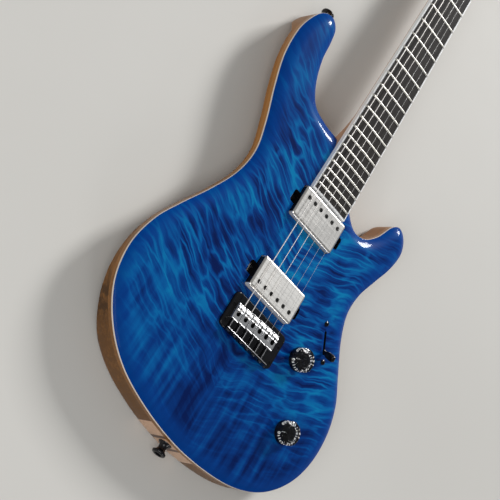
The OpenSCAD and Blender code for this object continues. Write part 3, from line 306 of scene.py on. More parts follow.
core = {
    "maple": (0.60, 0.38, 0.25),
    "mapleDark": (0.45, 0.26, 0.15),
    "walnut": (0.085, 0.035, 0.016),
    "stripeAt": 11.0,
    "stripeHalf": 2.2,
    "stripeSoft": 0.15,
    "edgeAt": 34.2,
    "edgeSoft": 0.1,
}


def laminatedCore(place):
    side = abs(place.axes()[0])
    fibre = grain(place)
    pores = grain(place, 1.6, 0.03)
    half, soft = core["stripeHalf"], core["stripeSoft"]
    maple = (fibre * 1.1 - 0.05).ramp((0.2, core["mapleDark"]), (0.75, core["maple"]))
    stripe = 1 - abs(side - core["stripeAt"]).step(half - soft, half + soft)
    edge = side.step(core["edgeAt"] - core["edgeSoft"], core["edgeAt"] + core["edgeSoft"])
    return {
        "Base Color": (stripe + edge).least(1.0).blend(maple, core["walnut"]),
        "Roughness": 0.38 + fibre * 0.15,
        "Coat Weight": 0.3,
        "Coat Roughness": 0.15,
        "Bump": (pores, 0.1, 0.05),
    }


def darkBoard(place):
    fibre = grain(place, 0.9)
    pores = grain(place, 3.2, 0.05)
    stops = ((0.3, (0.012, 0.0105, 0.010)), (0.8, (0.036, 0.031, 0.028)))
    return {
        "Base Color": (fibre * 1.2 - 0.1).ramp(*stops),
        "Roughness": 0.48 + pores * 0.2,
        "Specular IOR Level": 0.09,
        "Bump": (pores, 0.25, 0.06),
    }


def plain(name, tint, rough=0.3, metal=0.0, coat=0.0, vary=0.12, mark=0.06, shine=0.5):
    def paint(place):
        cloud = place.noise(0.09, 3.0)
        speck = place.noise(1.3, 3.0, 0.6)
        worn = tuple(min(1.0, c * (1 + vary) + 0.001) for c in tint)
        return {
            "Base Color": cloud.ramp((0.3, tint), (0.75, worn)),
            "Roughness": rough + (speck - 0.5) * mark * 2,
            "Metallic": metal,
            "Coat Weight": coat,
            "Coat Roughness": 0.06,
            "Specular IOR Level": shine,
        }
    return finish(name, paint)


brush = {
    "tint": (0.90, 0.88, 0.84),
    "shade": 0.62,
    "lines": (0.12, 1.6, 0.4),
    "bands": (0.03, 0.4, 0.1),
    "paintedShadeY": (70, 110),  # painted shade: the neck pickup is painted darker, as it reflects a darker part of the room
}


def brushedNickel(place):
    lines = place.stretch(*brush["lines"]).noise(1.0, 3.0, 0.6)
    bands = place.stretch(*brush["bands"]).noise(1.0)
    # the last term paints shade on the neck pickup
    tone = lines * 0.3 + bands * 0.7 - place.axes()[1].step(*brush["paintedShadeY"]) * 0.3 + 0.15
    dark = tuple(c * brush["shade"] for c in brush["tint"])
    return {
        "Base Color": tone.ramp((0.3, dark), (0.75, brush["tint"])),
        "Roughness": 0.36 + (lines - 0.5) * 0.12,
        "Metallic": 0.5,
        "Bump": (lines, 0.08, 0.02),
    }


def woundSteel(place):
    along = place.axes()[1] * 9.0
    turns = along.maths("SINE", along)
    return {
        "Base Color": place.noise(0.03).ramp((0.3, (0.80, 0.76, 0.72)), (0.7, (0.92, 0.88, 0.84))),
        "Roughness": 0.42 + turns * 0.05,
        "Metallic": 0.55,
        "Bump": (turns, 0.4, 0.05),
    }


def clearBarrel(place):
    return {
        "Base Color": (0.98, 0.98, 0.98),
        "Roughness": 0.01 + place.noise(0.3) * 0.02,
        "IOR": 1.3,
        "Transmission Weight": 1.0,
    }


def paleFloor(place):
    drift = place.noise(0.0016, 3.0)
    return {
        "Base Color": drift.ramp((0.3, (0.56, 0.545, 0.51)), (0.7, (0.60, 0.585, 0.55))),
        "Roughness": 0.7 + (place.noise(0.02, 3.0) - 0.5) * 0.1,
    }


darkStreakSpot = {"at": (-148, -90, 18), "near": 9.0, "far": 26.0}
amber = {"pale": (0.39, 0.168, 0.042), "dark": (0.185, 0.079, 0.02), "gloss": 0.25, "coat": 0.2}
honey = {"pale": (0.32, 0.135, 0.034), "dark": (0.122, 0.052, 0.013), "gloss": 0.35, "coat": 0.1}
blueTop = finish("blueFiguredTop", figuredBlue)
amberEdge = wood("amberEdge", **amber)
# pale natural maple edge, partly painted light: paler than its amber side because its rounding faces the
# light
litPaleEdge = plain("litPaleEdgeLine", (0.66, 0.58, 0.50), rough=0.25, coat=0.8)
honeyWood = wood("honeyWood", **honey, streakSpot=darkStreakSpot)
coreWood = finish("laminatedCore", laminatedCore)
board = finish("darkBoard", darkBoard)
ivory = plain("boardEdging", (0.93, 0.94, 0.93), coat=0.2)
inkLine = plain("boardInkLine", (0.012, 0.012, 0.012), rough=0.35)
bone = plain("nutBone", (0.80, 0.75, 0.64), rough=0.33, coat=0.2)
fretSteel = plain("fretSteel", (0.60, 0.58, 0.53), rough=0.38, metal=0.8)
nickel = finish("brushedNickel", brushedNickel)
nickelBright = plain("polishedNickel", (0.84, 0.80, 0.74), metal=1.0)
poleSteel = plain("poleSteel", (0.055, 0.054, 0.052), metal=1.0)
plainSteel = plain("plainSteel", (0.50, 0.50, 0.50), rough=0.36, metal=1.0)
chrome = plain("saddleChrome", (0.86, 0.86, 0.86), rough=0.27, metal=1.0, vary=0.04, mark=0.03)
blackSteel = plain("blackSteel", (0.15, 0.15, 0.155), rough=0.16, metal=1.0)
# painted highlight: a pale metal finish laid on the black bridge lip's edge as its glint
edgeGlint = plain("paintedEdgeGlint", (0.62, 0.62, 0.63), metal=0.8)
blackGloss = plain("blackHardware", (0.004, 0.004, 0.005), rough=0.22, coat=0.25, shine=0.2)
blackKnob = plain("blackKnob", (0.003, 0.003, 0.004), rough=0.16, coat=0.2, shine=0.15)
blackMatte = plain("blackCavity", (0.005, 0.005, 0.005), rough=0.75, shine=0.1)
blackCover = plain("blackCover", (0.014, 0.014, 0.014), rough=0.5)
numeral = plain("whiteNumerals", (0.94, 0.94, 0.92), rough=0.5)
brass = plain("ballBrass", (0.66, 0.45, 0.16), metal=1.0)
wound = finish("woundString", woundSteel)
plainString = plain("plainString", (0.72, 0.71, 0.69), rough=0.42, metal=0.9)
blackLead = plain("blackLead", (0.012, 0.012, 0.012), rough=0.55)
clearPlastic = finish("clearPlastic", clearBarrel)
floorPaint = finish("paleFloor", paleFloor)
print("finishes made:", len(bpy.data.materials))

# Drawing tools

openEnds = (False, False)
openTop = (True, False)


class Form:  # gathers the points and faces of one piece
    def __init__(self):
        self.points = []
        self.faces = []
        self.slots = []

    def add(self, points, faces, slot=0, place=None):
        start = len(self.points)
        self.points += [place @ Vector(p) if place else Vector(p) for p in points]
        self.faces += [[start + i for i in face] for face in faces]
        self.slots += [slot] * len(faces)
        return self

    def rings(self, rings, slot=0, place=None, caps=(True, True), bands=()):
        n = len(rings[0])
        start = len(self.faces)
        faces = []
        for low in range(0, (len(rings) - 1) * n, n):
            pairs = [(i, (i + 1) % n) for i in range(n)]
            faces += [(low + i, low + j, low + n + j, low + n + i) for i, j in pairs]
        if caps[0]:
            faces.append(tuple(range(n))[::-1])
        if caps[1]:
            faces.append(tuple(range((len(rings) - 1) * n, len(rings) * n)))
        self.add([p for ring in rings for p in ring], faces, slot, place)
        for k, band in enumerate(bands):
            self.slots[start + k * n:start + (k + 1) * n] = [band] * n
        return self

    def stack(self, loop, rims, slot=0, place=None, caps=(True, True), bands=()):  # rims: inset, height
        return self.rings([lift(inset(loop, d), z) for d, z in rims], slot, place, caps, bands)

    def wall(self, loop, low, high, slot=0, place=None, floor=False):
        return self.rings([lift(loop, low), lift(loop, high)], slot, place, (floor, False))

    def sheet(self, loops, z, slot=0, place=None, inner=()):  # a face with holes
        points, faces = fill(loops, inner)
        return self.add(lift(points, z), faces, slot, place)

    def lathe(self, profile, place=None, slot=0, steps=48, caps=(True, True), bands=()):
        return self.rings([ring(r, steps, z) for r, z in profile], slot, place, caps, bands)

    def tube(self, route, r, sides, slot=0, place=None):
        route = [Vector(p) for p in route]
        across = Vector((1, 0, 0.01))
        rings = []
        for p, before, after in zip(route, route[:1] + route, route[1:] + route[-1:]):
            along = (after - before).normalized()
            u = along.cross(across).normalized()
            across = u.cross(along).normalized()
            rings.append([p + r * (math.cos(a) * u - math.sin(a) * across) for a in angles(sides)])
        return self.rings(rings, slot, place)

    def mesh(self, name, values=None):
        mesh = bpy.data.meshes.new(name)
        mesh.from_pydata([p * mm for p in self.points], [], self.faces)
        mesh.polygons.foreach_set("material_index", self.slots)
        if values is not None:
            mesh.attributes.new("rim", "FLOAT", "POINT").data.foreach_set("value", values)
        shell = bmesh.new()
        shell.from_mesh(mesh)
        bmesh.ops.remove_doubles(shell, verts=shell.verts, dist=2e-6)
        bmesh.ops.delete(shell, geom=[v for v in shell.verts if not v.link_faces], context="VERTS")
        bmesh.ops.recalc_face_normals(shell, faces=shell.faces)
        shell.to_mesh(mesh)
        shell.free()
        return mesh

    def build(self, name, materials, replaced, slot, sharp=32, body="guitar", values=None):
        show(name, self.mesh(name, values), materials, replaced, sharp, body)


def show(name, mesh, materials, replaced, sharp, body="guitar"):
    for material in materials:
        mesh.materials.append(material)
    mesh.shade_smooth()
    mesh.set_sharp_from_angle(angle=math.radians(sharp))
    piece = bpy.data.objects.new(name, mesh)
    scene.collection.objects.link(piece)
    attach(piece, body)
    if replaced:
        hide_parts(*replaced)


def angles(count):  # the whole turn
    return [2 * math.pi * k / count for k in range(count)]


def arc(start, end, steps):  # part of a turn, given in degrees
    return [math.radians(start + (end - start) * k / steps) for k in range(steps + 1)]


def ring(r, count, z=None):
    flat = [(r * math.cos(a), r * math.sin(a)) for a in angles(count)]
    return flat if z is None else lift(flat, z)


def lift(loop, z):  # to one height or to a height given by the point
    return [(p[0], p[1], z(p) if callable(z) else z) for p in loop]


def oval(length, width, r, steps=6):  # a rectangle with round corners
    loop = []
    for sx, sy, start in ((1, 1, 0), (-1, 1, 90), (-1, -1, 180), (1, -1, 270)):
        x, y = sx * (length / 2 - r), sy * (width / 2 - r)
        loop += [(x + r * math.cos(a), y + r * math.sin(a)) for a in arc(start, start + 90, steps)]
    return loop


def inset(loop, d):
    if not d:
        return list(loop)
    inner = []
    for k, p in enumerate(loop):
        before, after = loop[k - 1], loop[(k + 1) % len(loop)]
        t = (after[0] - before[0], after[1] - before[1])
        size = math.hypot(*t) or 1
        inner.append((p[0] - d * t[1] / size, p[1] + d * t[0] / size))
    return inner


def curve(points, steps, closed):  # a smooth line through the points
    n = len(points)
    loop = []
    for i in range(n if closed else n - 1):
        pick = [(i + k) % n if closed else min(max(i + k, 0), n - 1) for k in (-1, 0, 1, 2)]
        a, b, c, d = [Vector(points[k]) for k in pick]
        for j in range(steps):
            t = j / steps
            p = 2 * b + (c - a) * t + (2 * a - 5 * b + 4 * c - d) * t ** 2 + (3 * b - a - 3 * c + d) * t ** 3
            loop.append(tuple(p / 2))
    return loop if closed else loop + [tuple(points[-1])]


def bow(start, corner, end, steps):  # a bend between two points
    shares = [k / steps for k in range(steps + 1)]
    return [start * (1 - t) ** 2 + corner * 2 * t * (1 - t) + end * t * t for t in shares]


def between(start, end, steps):  # points on a straight line, without its start
    return [start.lerp(end, k / steps) for k in range(1, steps + 1)]


def rounded(loop, r, steps=5):  # straight sides, round corners
    out = []
    for k, p in enumerate(loop):
        p = Vector(p)
        start = p + (Vector(loop[k - 1]) - p).normalized() * r
        end = p + (Vector(loop[(k + 1) % len(loop)]) - p).normalized() * r
        out += [tuple(q) for q in bow(start, p, end, steps)]
    return out


def within(points, loop):
    x, y = np.array(points, dtype=float).T[:, :, None]
    a = np.array([q[:2] for q in loop], dtype=float)
    b = np.roll(a, -1, 0)
    rises = (a[:, 1] > y) != (b[:, 1] > y)
    cut = a[:, 0] + (y - a[:, 1]) / (b - a + 1e-12)[:, 1] * (b - a)[:, 0]
    return ((rises & (x < cut)).sum(1) % 2) == 1


def fill(loops, inner=()):  # triangles inside the first loop and outside the others
    coords = []
    edges = []
    for loop in loops:
        start = len(coords)
        coords += [Vector(p[:2]) for p in loop]
        edges += [(start + k, start + (k + 1) % len(loop)) for k in range(len(loop))]
    coords += [Vector(p) for p in inner]
    points, _, faces, *_ = delaunay_2d_cdt(coords, edges, [], 1, 1e-5)
    points = [tuple(p) for p in points]
    middles = [np.mean([points[i] for i in face], 0) for face in faces]
    kept = within(middles, loops[0])
    for hole in loops[1:]:
        kept &= ~within(middles, hole)
    return points, [face for face, keep in zip(faces, kept) if keep]


def spin(degrees, axis):
    return Matrix.Rotation(math.radians(degrees), 4, axis)


def moved(x, y, z=0.0, turnZ=0.0):
    return Matrix.Translation((x, y, z)) @ spin(turnZ, "Z")


def shifted(loop, x, y, turnZ=0.0):
    place = moved(x, y, 0, turnZ)
    return [tuple((place @ Vector((p[0], p[1], 0)))[:2]) for p in loop]


def mirrored(points):
    return [(-x, y) for x, y in points[::-1]]


def smooth(t):
    t = min(max(t, 0.0), 1.0)
    return t * t * (3 - 2 * t)


def middle(node):
    low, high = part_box(node)
    return (low + high) / 2 / mm


crossRecess = [(0.5, 0.14), (0.14, 0.14), (0.14, 0.5), (-0.14, 0.5), (-0.14, 0.14), (-0.5, 0.14)]
crossRecess += [(-x, -y) for x, y in crossRecess]
slotRecess = [(0.86, 0.15), (-0.86, 0.15), (-0.86, -0.15), (0.86, -0.15)]
hexRecess = ring(0.55, 6)
screws = {  # head radius and height, recess and its depth, dome, shank length and radius
    "pole": (2.3, 1.15, slotRecess, 0.75, 0.12, 18.0, 1.6),
    "ear": (2.6, 2.0, crossRecess, 0.9, 0.35, 22.0, 1.4),
    "saddle": (1.05, 1.1, hexRecess, 0.8, 0.1, 3.5, 0.95),
    "intonation": (2.4, 1.8, crossRecess, 0.8, 0.3, 0, 0),
    "bridge": (2.7, 1.5, crossRecess, 0.9, 0.15, 16.0, 1.7),
    "selector": (2.8, 1.6, crossRecess, 0.9, 0.5, 9.0, 1.5),
    "cover": (2.4, 0.8, crossRecess, 0.5, 0.2, 7.5, 1.2),
    "truss": (1.9, 1.2, crossRecess, 0.7, 0.5, 9.0, 0.9),
    "tuner": (2.2, 1.2, crossRecess, 0.7, 0.5, 9.0, 1.1),
    "strap": (3.8, 2.0, crossRecess, 1.1, 0.4, 26.0, 2.1),
}


def screw(form, place, kind, slot=0, turned=0.0):
    r, h, recess, depth, dome, shank, shankR = screws[kind]
    rim = ring(r, 28)
    hole = [(x * r, y * r) for x, y in shifted(recess, 0, 0, turned)]

    def level(p):
        return h * (1 - dome * (p[0] ** 2 + p[1] ** 2) / r ** 2)

    form.sheet([rim, hole], level, slot, place, ring(r * 0.6, 16) + ring(r * 0.8, 16))
    form.wall(rim, 0, level, slot, place, floor=True)
    form.wall(hole, h * (1 - dome) - depth, level, slot, place, floor=True)
    if shank:
        form.lathe([(shankR, -shank), (shankR, 0)], place, slot, steps=16)


# Body

bodyPoints = [
    (0, -155), (50, -154), (92, -146), (125, -129), (149, -102), (161, -70), (162, -35),
    (153, -3), (135, 25), (115, 56), (104, 84), (105, 110), (114, 136), (124, 162), (128, 184),
    (124.5, 198), (116, 207), (106, 209), (97, 201), (87, 180), (73, 165), (56, 161), (40, 169),
    (22, 186), (0, 205), (-24, 220), (-50, 222), (-73, 228), (-88, 247), (-97, 272), (-100, 296),
    (-104, 311), (-114, 318), (-126, 314), (-135, 301), (-142, 275), (-140, 240), (-129, 205),
    (-115, 170), (-106, 137), (-110, 104), (-125, 69), (-145, 32), (-160, 0), (-166.5, -37),
    (-158, -75), (-133, -108), (-98, -132), (-52, -147),
]
blank = {
    "topZ": 41.0,
    "plateZ": 29.0,
    "midZ": 18.0,
    "sideZ": 18.5,
    "backRound": 8.0,
    "coreHalf": 35.0,
    "steps": 8,
    "sideSteps": 3,
    "jackPoint": 4,
    "strapPoints": (0, 32),
}
carve = {
    "drop": 5.0,
    "width": 15.0,
    "rows": (2.4, 3.4, 4.5, 6.5, 9.0, 12.0, 15.0, 19.0),
    "rowSlack": 0.05,
    "gridX": (-170, 170, 9.0),
    "gridY": (-160, 325, 9.0),
    "gridFrom": 23.0,
    "under": 0.02,
}
strip = {  # inset and height round the strip's outer side
    "width": 1.1,
    "rim": ((0.0, 29.0), (0.0, 32.0), (0.0, 34.5), (0.0, 35.6), (0.1, 36.0), (0.35, 36.3), (0.7, 36.55)),
    # band 1 is the pale edge: partly the natural maple, partly painted light on its upward rounding
    "bands": (0, 0, 1, 1, 1, 2, 2, 0, 0),
}
outline = curve(bodyPoints, blank["steps"], True)
outlineArray = np.array(outline)


def edgeDistance(points):
    p = np.array(points)[:, None, :]
    a = outlineArray[None, :, :]
    ab = np.roll(outlineArray, -1, 0)[None, :, :] - a
    t = np.clip(((p - a) * ab).sum(2) / (ab ** 2).sum(2), 0, 1)
    return np.sqrt(((p - a - t[:, :, None] * ab) ** 2).sum(2)).min(1)


def carveLevel(w):
    t = np.minimum(np.asarray(w) / carve["width"], 1)
    return blank["topZ"] - carve["drop"] + carve["drop"] * t * (2 - t)


def onCarve(points):
    return [(p[0], p[1], z) for p, z in zip(points, carveLevel(edgeDistance(points)))]


def sidePlace(index, z):  # on the body's side, with +Z outward
    loop = curve(bodyPoints, blank["sideSteps"], True)
    k = index * blank["sideSteps"]
    along = (Vector(loop[(k + 1) % len(loop)]) - Vector(loop[k - 1])).normalized()
    place = Vector((along.y, -along.x, 0)).to_track_quat("Z", "Y").to_matrix().to_4x4()
    place.translation = Vector((*loop[k], z))
    return place


pickups = {
    "length": 69.5,
    "width": 38.0,
    "corner": 3.0,
    "coverH": 17.0,
    "endFrom": 0.3,
    "endDrop": 1.0,
    "earX": 39.2,
    "routeX": 42.6,
    "routeEar": 7.5,
    "routeGap": 0.6,
    "pitGap": 0.1,
    "floorZ": 20.0,
    "shaftZ": 4.0,
    "shaftR": 1.7,
    "poleRow": 9.0,
    "polePitch": 10.3,
    "holeR": 2.45,
    "holeDepth": 2.0,
    "poleSink": 0.7,
    "poleTurn": (25, 31),
    "earTurn": 20,
    "rim": ((0, 1.9), (0.18, 1.35), (0.6, 0.85), (1.3, 0.4), (2.0, 0.1), (2.6, 0.0), (3.0, 0.0)),
    "bands": (0, 1, 1, 1, 1, 1, 0),
}
selector = {
    "x": 92.5,
    "y": 38.0,
    "turn": -59.0,
    "tilt": 26.0,
    "pivotZ": 23.0,
    "slot": (25.5, 3.0, 1.4),
    "screwPitch": 41.0,
    "screwTurn": 20,
    "floorZ": 24.0,
    "tip": ((23.9, 3.6, 3.2), (24.3, 5.2, 4.6), (25.5, 6.2, 5.4), (29.0, 7.6, 5.9), (33.0, 8.0, 6.0),
            (36.2, 7.5, 5.7), (37.6, 6.6, 5.0), (38.3, 5.0, 3.8), (38.5, 3.0, 2.4)),
    "tipRound": 0.38,
}


def pickupRoute(y):
    x = pickups["length"] / 2 + pickups["routeGap"]
    h = pickups["width"] / 2 + pickups["routeGap"]
    r, e, far = pickups["corner"], pickups["routeEar"], pickups["routeX"]
    bend = [(r * (1 - math.cos(a)), r * (1 - math.sin(a))) for a in arc(0, 90, 5)]
    quarter = [(far - u, e - v) for u, v in bend] + [(x, e)] + [(x - u, h - v) for u, v in bend]
    half = quarter + mirrored(quarter)
    return [(u, v + y) for u, v in half] + [(-u, y - v) for u, v in half]


pickupY = {node: middle(node + "_cover").y for node in ("neck_pickup", "bridge_pickup")}
routes = [pickupRoute(y) for y in pickupY.values()]
lever = moved(selector["x"], selector["y"], 0, selector["turn"])
selectorSlot = shifted(oval(*selector["slot"]), selector["x"], selector["y"], selector["turn"])


def topPlate():
    rows = [p for d in carve["rows"] for p in inset(outline, d)]
    wanted = np.repeat(carve["rows"], len(outline))
    inner = [p for p, d, w in zip(rows, edgeDistance(rows), wanted) if d > w - carve["rowSlack"]]
    grid = [(x, y) for x in np.arange(*carve["gridX"]) for y in np.arange(*carve["gridY"])]
    kept = within(grid, outline) & (edgeDistance(grid) > carve["gridFrom"])
    inner += [p for p, keep in zip(grid, kept) if keep]
    loops = [inset(outline, strip["width"]), *routes, selectorSlot]
    points, faces = fill(loops, inner)
    under = blank["plateZ"] + carve["under"]
    form = Form()
    form.add(onCarve(points), faces)
    form.add(lift(points, under), [f[::-1] for f in faces], 1)
    for loop in loops:
        form.rings([lift(loop, under), onCarve(loop)], 1, caps=openEnds)
    values = list(edgeDistance(points)) * 2
    values += [0.0] * (len(form.points) - len(values))
    finishes = [blueTop, blackMatte]
    form.build("figuredTop", finishes, ["top_plate"], "blue_figured_top", sharp=40, values=values)


def edgeStrip():
    w = strip["width"]
    rim = [*strip["rim"], (w, float(carveLevel(w))), (w, blank["plateZ"]), strip["rim"][0]]
    form = Form().stack(outline, rim, caps=openEnds, bands=strip["bands"])
    form.build("edgeStrip", [amberEdge, litPaleEdge, blueTop], ["body_binding"], "pale_strip", sharp=50)


cover = {
    "thick": 2.0,
    "floorGap": 0.3,
    "gap": 0.25,
    "ledge": 6.0,
    "circles": ((82.4, 55.3, 11), (102.6, 20.7, 11), (103.5, -68.5, 19), (72.0, 1.5, 18)),
    "rim": ((0, -2.0), (0, -0.5), (0.15, -0.15), (0.5, 0.0)),
    "screwAt": (120, 5, -60, 205),  # degrees round each circle
    "screwTurn": 30,
    "screwSink": 1.0,
    "holeR": 2.7,
    "holeDepth": 1.2,
}


def coverLoop(grow):
    points = []
    for x, y, r in cover["circles"]:
        points += [(x + u, y + v) for u, v in ring(r + grow, 64)]
    hull = [points[k] for k in convex_hull_2d([Vector(p) for p in points])]
    area = sum(a[0] * b[1] - a[1] * b[0] for a, b in zip(hull, hull[1:] + hull[:1]))
    return hull if area > 0 else hull[::-1]


courses = range(1, 7)  # the strings, from the thinnest
strings = {
    "pitch": 10.7,
    "radii": (0.13, 0.165, 0.215, 0.33, 0.455, 0.585),
    "saddleZ": 51.6,
    "nutZ": 49.3,
    "nutPitch": 7.2,
    "stagger": 0.8,
    "down": 8.0,
    "bend": 5.8,
    "bendReach": 2.2,
    "crown": 400.0,
    "scale": 648.0,
    "lowZ": (3.0, 30.0, 44.2),
    "nutDrop": 0.1,
}
ferrule = {
    "r": 4.0,
    "gap": 0.08,
    "h": 8.0,
    "cup": ((1.6, 8.0), (4.0, 8.0), (4.0, 0.35), (3.65, 0.02), (2.75, 0.02), (2.35, 0.5), (2.25, 5.6),
            (1.6, 5.6), (1.6, 8.0)),
    "ball": ((1.0, 1.0), (1.9, 1.5), (1.9, 2.1), (1.4, 2.5), (1.4, 3.2), (1.9, 3.6), (1.9, 4.2), (0.6, 4.7)),
}


def stringX(i):
    return (3.5 - i) * strings["pitch"]


def nutX(i):
    return (3.5 - i) * strings["nutPitch"]


def crownDrop(x):
    return strings["crown"] - math.sqrt(strings["crown"] ** 2 - x * x)


def saddleY(i):
    return -strings["stagger"] * (i - 1)


contour = {  # outline point, height of the back's cut at the edge, its width
    "stations": ((34, -2, 14), (35, 24, 26), (36, 25, 34), (37, 24.5, 40), (38, 25, 44), (39, 26.5, 46),
                 (40, 27.5, 46), (41, 27.5, 46), (42, 27.5, 46), (43, 27, 46), (44, 24.5, 44), (45, 18, 38),
                 (46, 8, 30), (47, -2, 24)),
    "under": 2.0,
    "rows": (0.2, 0.3, 0.42, 0.56, 0.7, 0.85, 1.0),
    "rowFrom": 9.5,
}


def contourAt(index):
    at, heights, widths = zip(*contour["stations"])
    return np.interp(index, at, heights), np.interp(index, at, widths)


def raised(points):  # lifts the back to the contour
    p = np.array([q[:2] for q in points])
    nearest = ((p[:, None, :] - outlineArray[None]) ** 2).sum(2).argmin(1)
    h, w = contourAt(nearest / blank["steps"])
    levels = h - (h + contour["under"]) * edgeDistance(p) / w
    return [(q[0], q[1], max(q[2], level)) for q, level in zip(points, levels)]


def contourRows():
    inner = []
    for k, (p, q) in enumerate(zip(outline, inset(outline, 1.0))):
        h, w = contourAt(k / blank["steps"])
        for share in contour["rows"]:
            d = share * w * h / (h + contour["under"]) if h > 0 else 0
            if d > contour["rowFrom"]:
                inner.append((p[0] + (q[0] - p[0]) * d, p[1] + (q[1] - p[1]) * d))
    return inner


def hollows(form):  # the blank's top face, with the routes below it
    high = blank["plateZ"]
    pits = [inset(loop, -pickups["pitGap"]) for loop in (*routes, selectorSlot)]
    floors = (pickups["floorZ"], pickups["floorZ"], selector["floorZ"])
    drill = ring(pickups["shaftR"], 16)
    shafts = [[shifted(drill, s * pickups["earX"], y) for s in (-1, 1)] for y in pickupY.values()]
    form.sheet([outline, *pits], high)
    for pit, low, drilled in zip(pits, floors, (*shafts, [])):
        form.wall(pit, low, high, 1)
        form.sheet([pit, *drilled], low, 1)
        for shaft in drilled:
            form.wall(shaft, pickups["shaftZ"], low, 1, floor=True)


def bodyBlank():
    r = blank["backRound"]
    rims = [(r * (1 - math.sin(a)), r * (1 - math.cos(a))) for a in arc(0, 90, 6)]
    rims += [(0.0, blank["midZ"]), (0.0, blank["plateZ"])]
    holes = [(coverLoop(cover["ledge"] + cover["gap"]), cover["thick"] + cover["floorGap"])]
    for i in courses:
        bore = ring(ferrule["r"] + ferrule["gap"], 32)
        holes.append((shifted(bore, stringX(i), saddleY(i) - strings["down"]), ferrule["h"]))
    form = Form()
    form.rings([raised(lift(inset(outline, d), z)) for d, z in rims], caps=openEnds)
    hollows(form)
    points, faces = fill([inset(outline, r), *[hole for hole, _ in holes]], contourRows())
    form.add(raised(lift(points, 0)), faces)
    for hole, depth in holes:
        form.rings([lift(hole, 0), lift(hole, depth)], caps=(False, True))
    solid = form.mesh("bodyBlank")
    half = blank["coreHalf"] * mm
    pieces = (  # name, cuts with the side that goes, finish, node, slot
        ("neckCore", ((-half, -1), (half, 1)), coreWood, "neck_through_core", "core_wood"),
        ("bassWing", ((-half, 1),), honeyWood, "bass_wing", "wing_wood"),
        ("trebleWing", ((half, -1),), honeyWood, "treble_wing", "wing_wood"),
    )
    for name, cuts, material, node, slot in pieces:
        part = bmesh.new()
        part.from_mesh(solid)
        for x, side in cuts:
            plane = {"plane_co": (x, 0, 0), "plane_no": (side, 0, 0), "clear_outer": True, "dist": 1e-7}
            cut = bmesh.ops.bisect_plane(part, geom=part.verts[:] + part.edges[:] + part.faces[:], **plane)
            edges = [e for e in cut["geom_cut"] if isinstance(e, bmesh.types.BMEdge)]
            bmesh.ops.edgenet_fill(part, edges=edges)
        bmesh.ops.recalc_face_normals(part, faces=part.faces)
        mesh = bpy.data.meshes.new(name)
        part.to_mesh(mesh)
        part.free()
        show(name, mesh, [material, blackMatte], [node], sharp=30)
    bpy.data.meshes.remove(solid)


topPlate()
edgeStrip()
bodyBlank()
print("body made")

# Neck and headstock

neck = {
    "nutHalf": 21.5,
    "boardEndHalf": 28.7,
    "boardEndY": 153.0,
    "boardThick": 6.5,
    "backHeel": 24.0,
    "backNut": 21.0,
    "roundHeel": 31.2,
    "roundNut": 23.2,
    "heelY": 215.0,
    "heelFrom": 165.0,
    "heelTo": 262.0,
    "heelHalf": 27.5,
    "heelFlat": 24.0,
    "heelBevel": 7.5,
    "heelZ": 0.5,
    "heelPower": 0.85,
    "heelStations": [165 + k * 4.0 for k in range(27)],
    "shaftStations": [280, 320, 370, 420, 470, 520, 560, 590],
    "scoopStations": [602 + k * 3 for k in range(17)],
    "endY": 653.0,
    "endStations": (650.0, 653.0, 657.0, 661.0, 665.0, 668.0, 671.0),
    "scoopFrom": 614.0,
    "scoopTo": 668.0,
    "scoopRise": 6.0,
    "sides": 36,
    "edge": 0.4,
}
head = {
    "back": 22.0,
    "wood": 36.0,
    "face": 37.5,
    "faceEdge": 0.5,
    "faceGap": 0.2,
    "shaftDrop": 2.0,
    "round": 1.6,
    "half": ((18.5, -8), (23, 14), (30, 30), (39, 46), (41, 70), (38.5, 110), (37, 150), (30, 172),
             (14, 178), (0, 176)),
    "rim": 15.0,  # held back from the blue's darker edge
}


def boardHalf(y):
    grow = (neck["boardEndHalf"] - neck["nutHalf"]) / (strings["scale"] - neck["boardEndY"])
    return neck["nutHalf"] + (strings["scale"] - y) * grow


def alongNeck(y, atHeel, atNut):
    return atHeel + (atNut - atHeel) * (y - neck["heelY"]) / (strings["scale"] - neck["heelY"])


def neckBack(x, y):
    r = alongNeck(y, neck["roundHeel"], neck["roundNut"])
    up = alongNeck(y, neck["roundHeel"] - neck["backHeel"], neck["roundNut"] - neck["backNut"])
    axis = blank["topZ"] + neck["boardThick"] + up
    return min(axis - math.sqrt(max(r * r - x * x, 0)), blank["topZ"] - 2 * neck["edge"])


def neckRing(y, high):
    heel = 1 - smooth((y - neck["heelFrom"]) / (neck["heelTo"] - neck["heelFrom"])) ** neck["heelPower"]
    scoop = smooth((y - neck["scoopFrom"]) / (neck["scoopTo"] - neck["scoopFrom"]))
    half = boardHalf(y) * (1 - heel) + neck["heelHalf"] * heel
    half = half * (1 - scoop) + (neck["nutHalf"] - 1) * scoop
    loop = [(half, y, high)]
    for a in arc(0, 180, neck["sides"]):
        share = math.cos(a)
        over = max(abs(half * share) - neck["heelFlat"], 0) / (neck["heelHalf"] - neck["heelFlat"])
        heelZ = neck["heelZ"] + over * neck["heelBevel"]
        headZ = head["back"] + neck["edge"] + neck["scoopRise"] * abs(share) ** 6
        z = neckBack(share * boardHalf(y), y) * (1 - heel) + heelZ * heel
        z = z * (1 - scoop) + headZ * scoop
        loop.append((half * share, y, min(z, high - neck["edge"])))
    return loop + [(-half, y, high)]


def headLoop():
    right = [(x, strings["scale"] + y) for x, y in curve(head["half"], 8, False)]
    return right + mirrored(right)[1:]


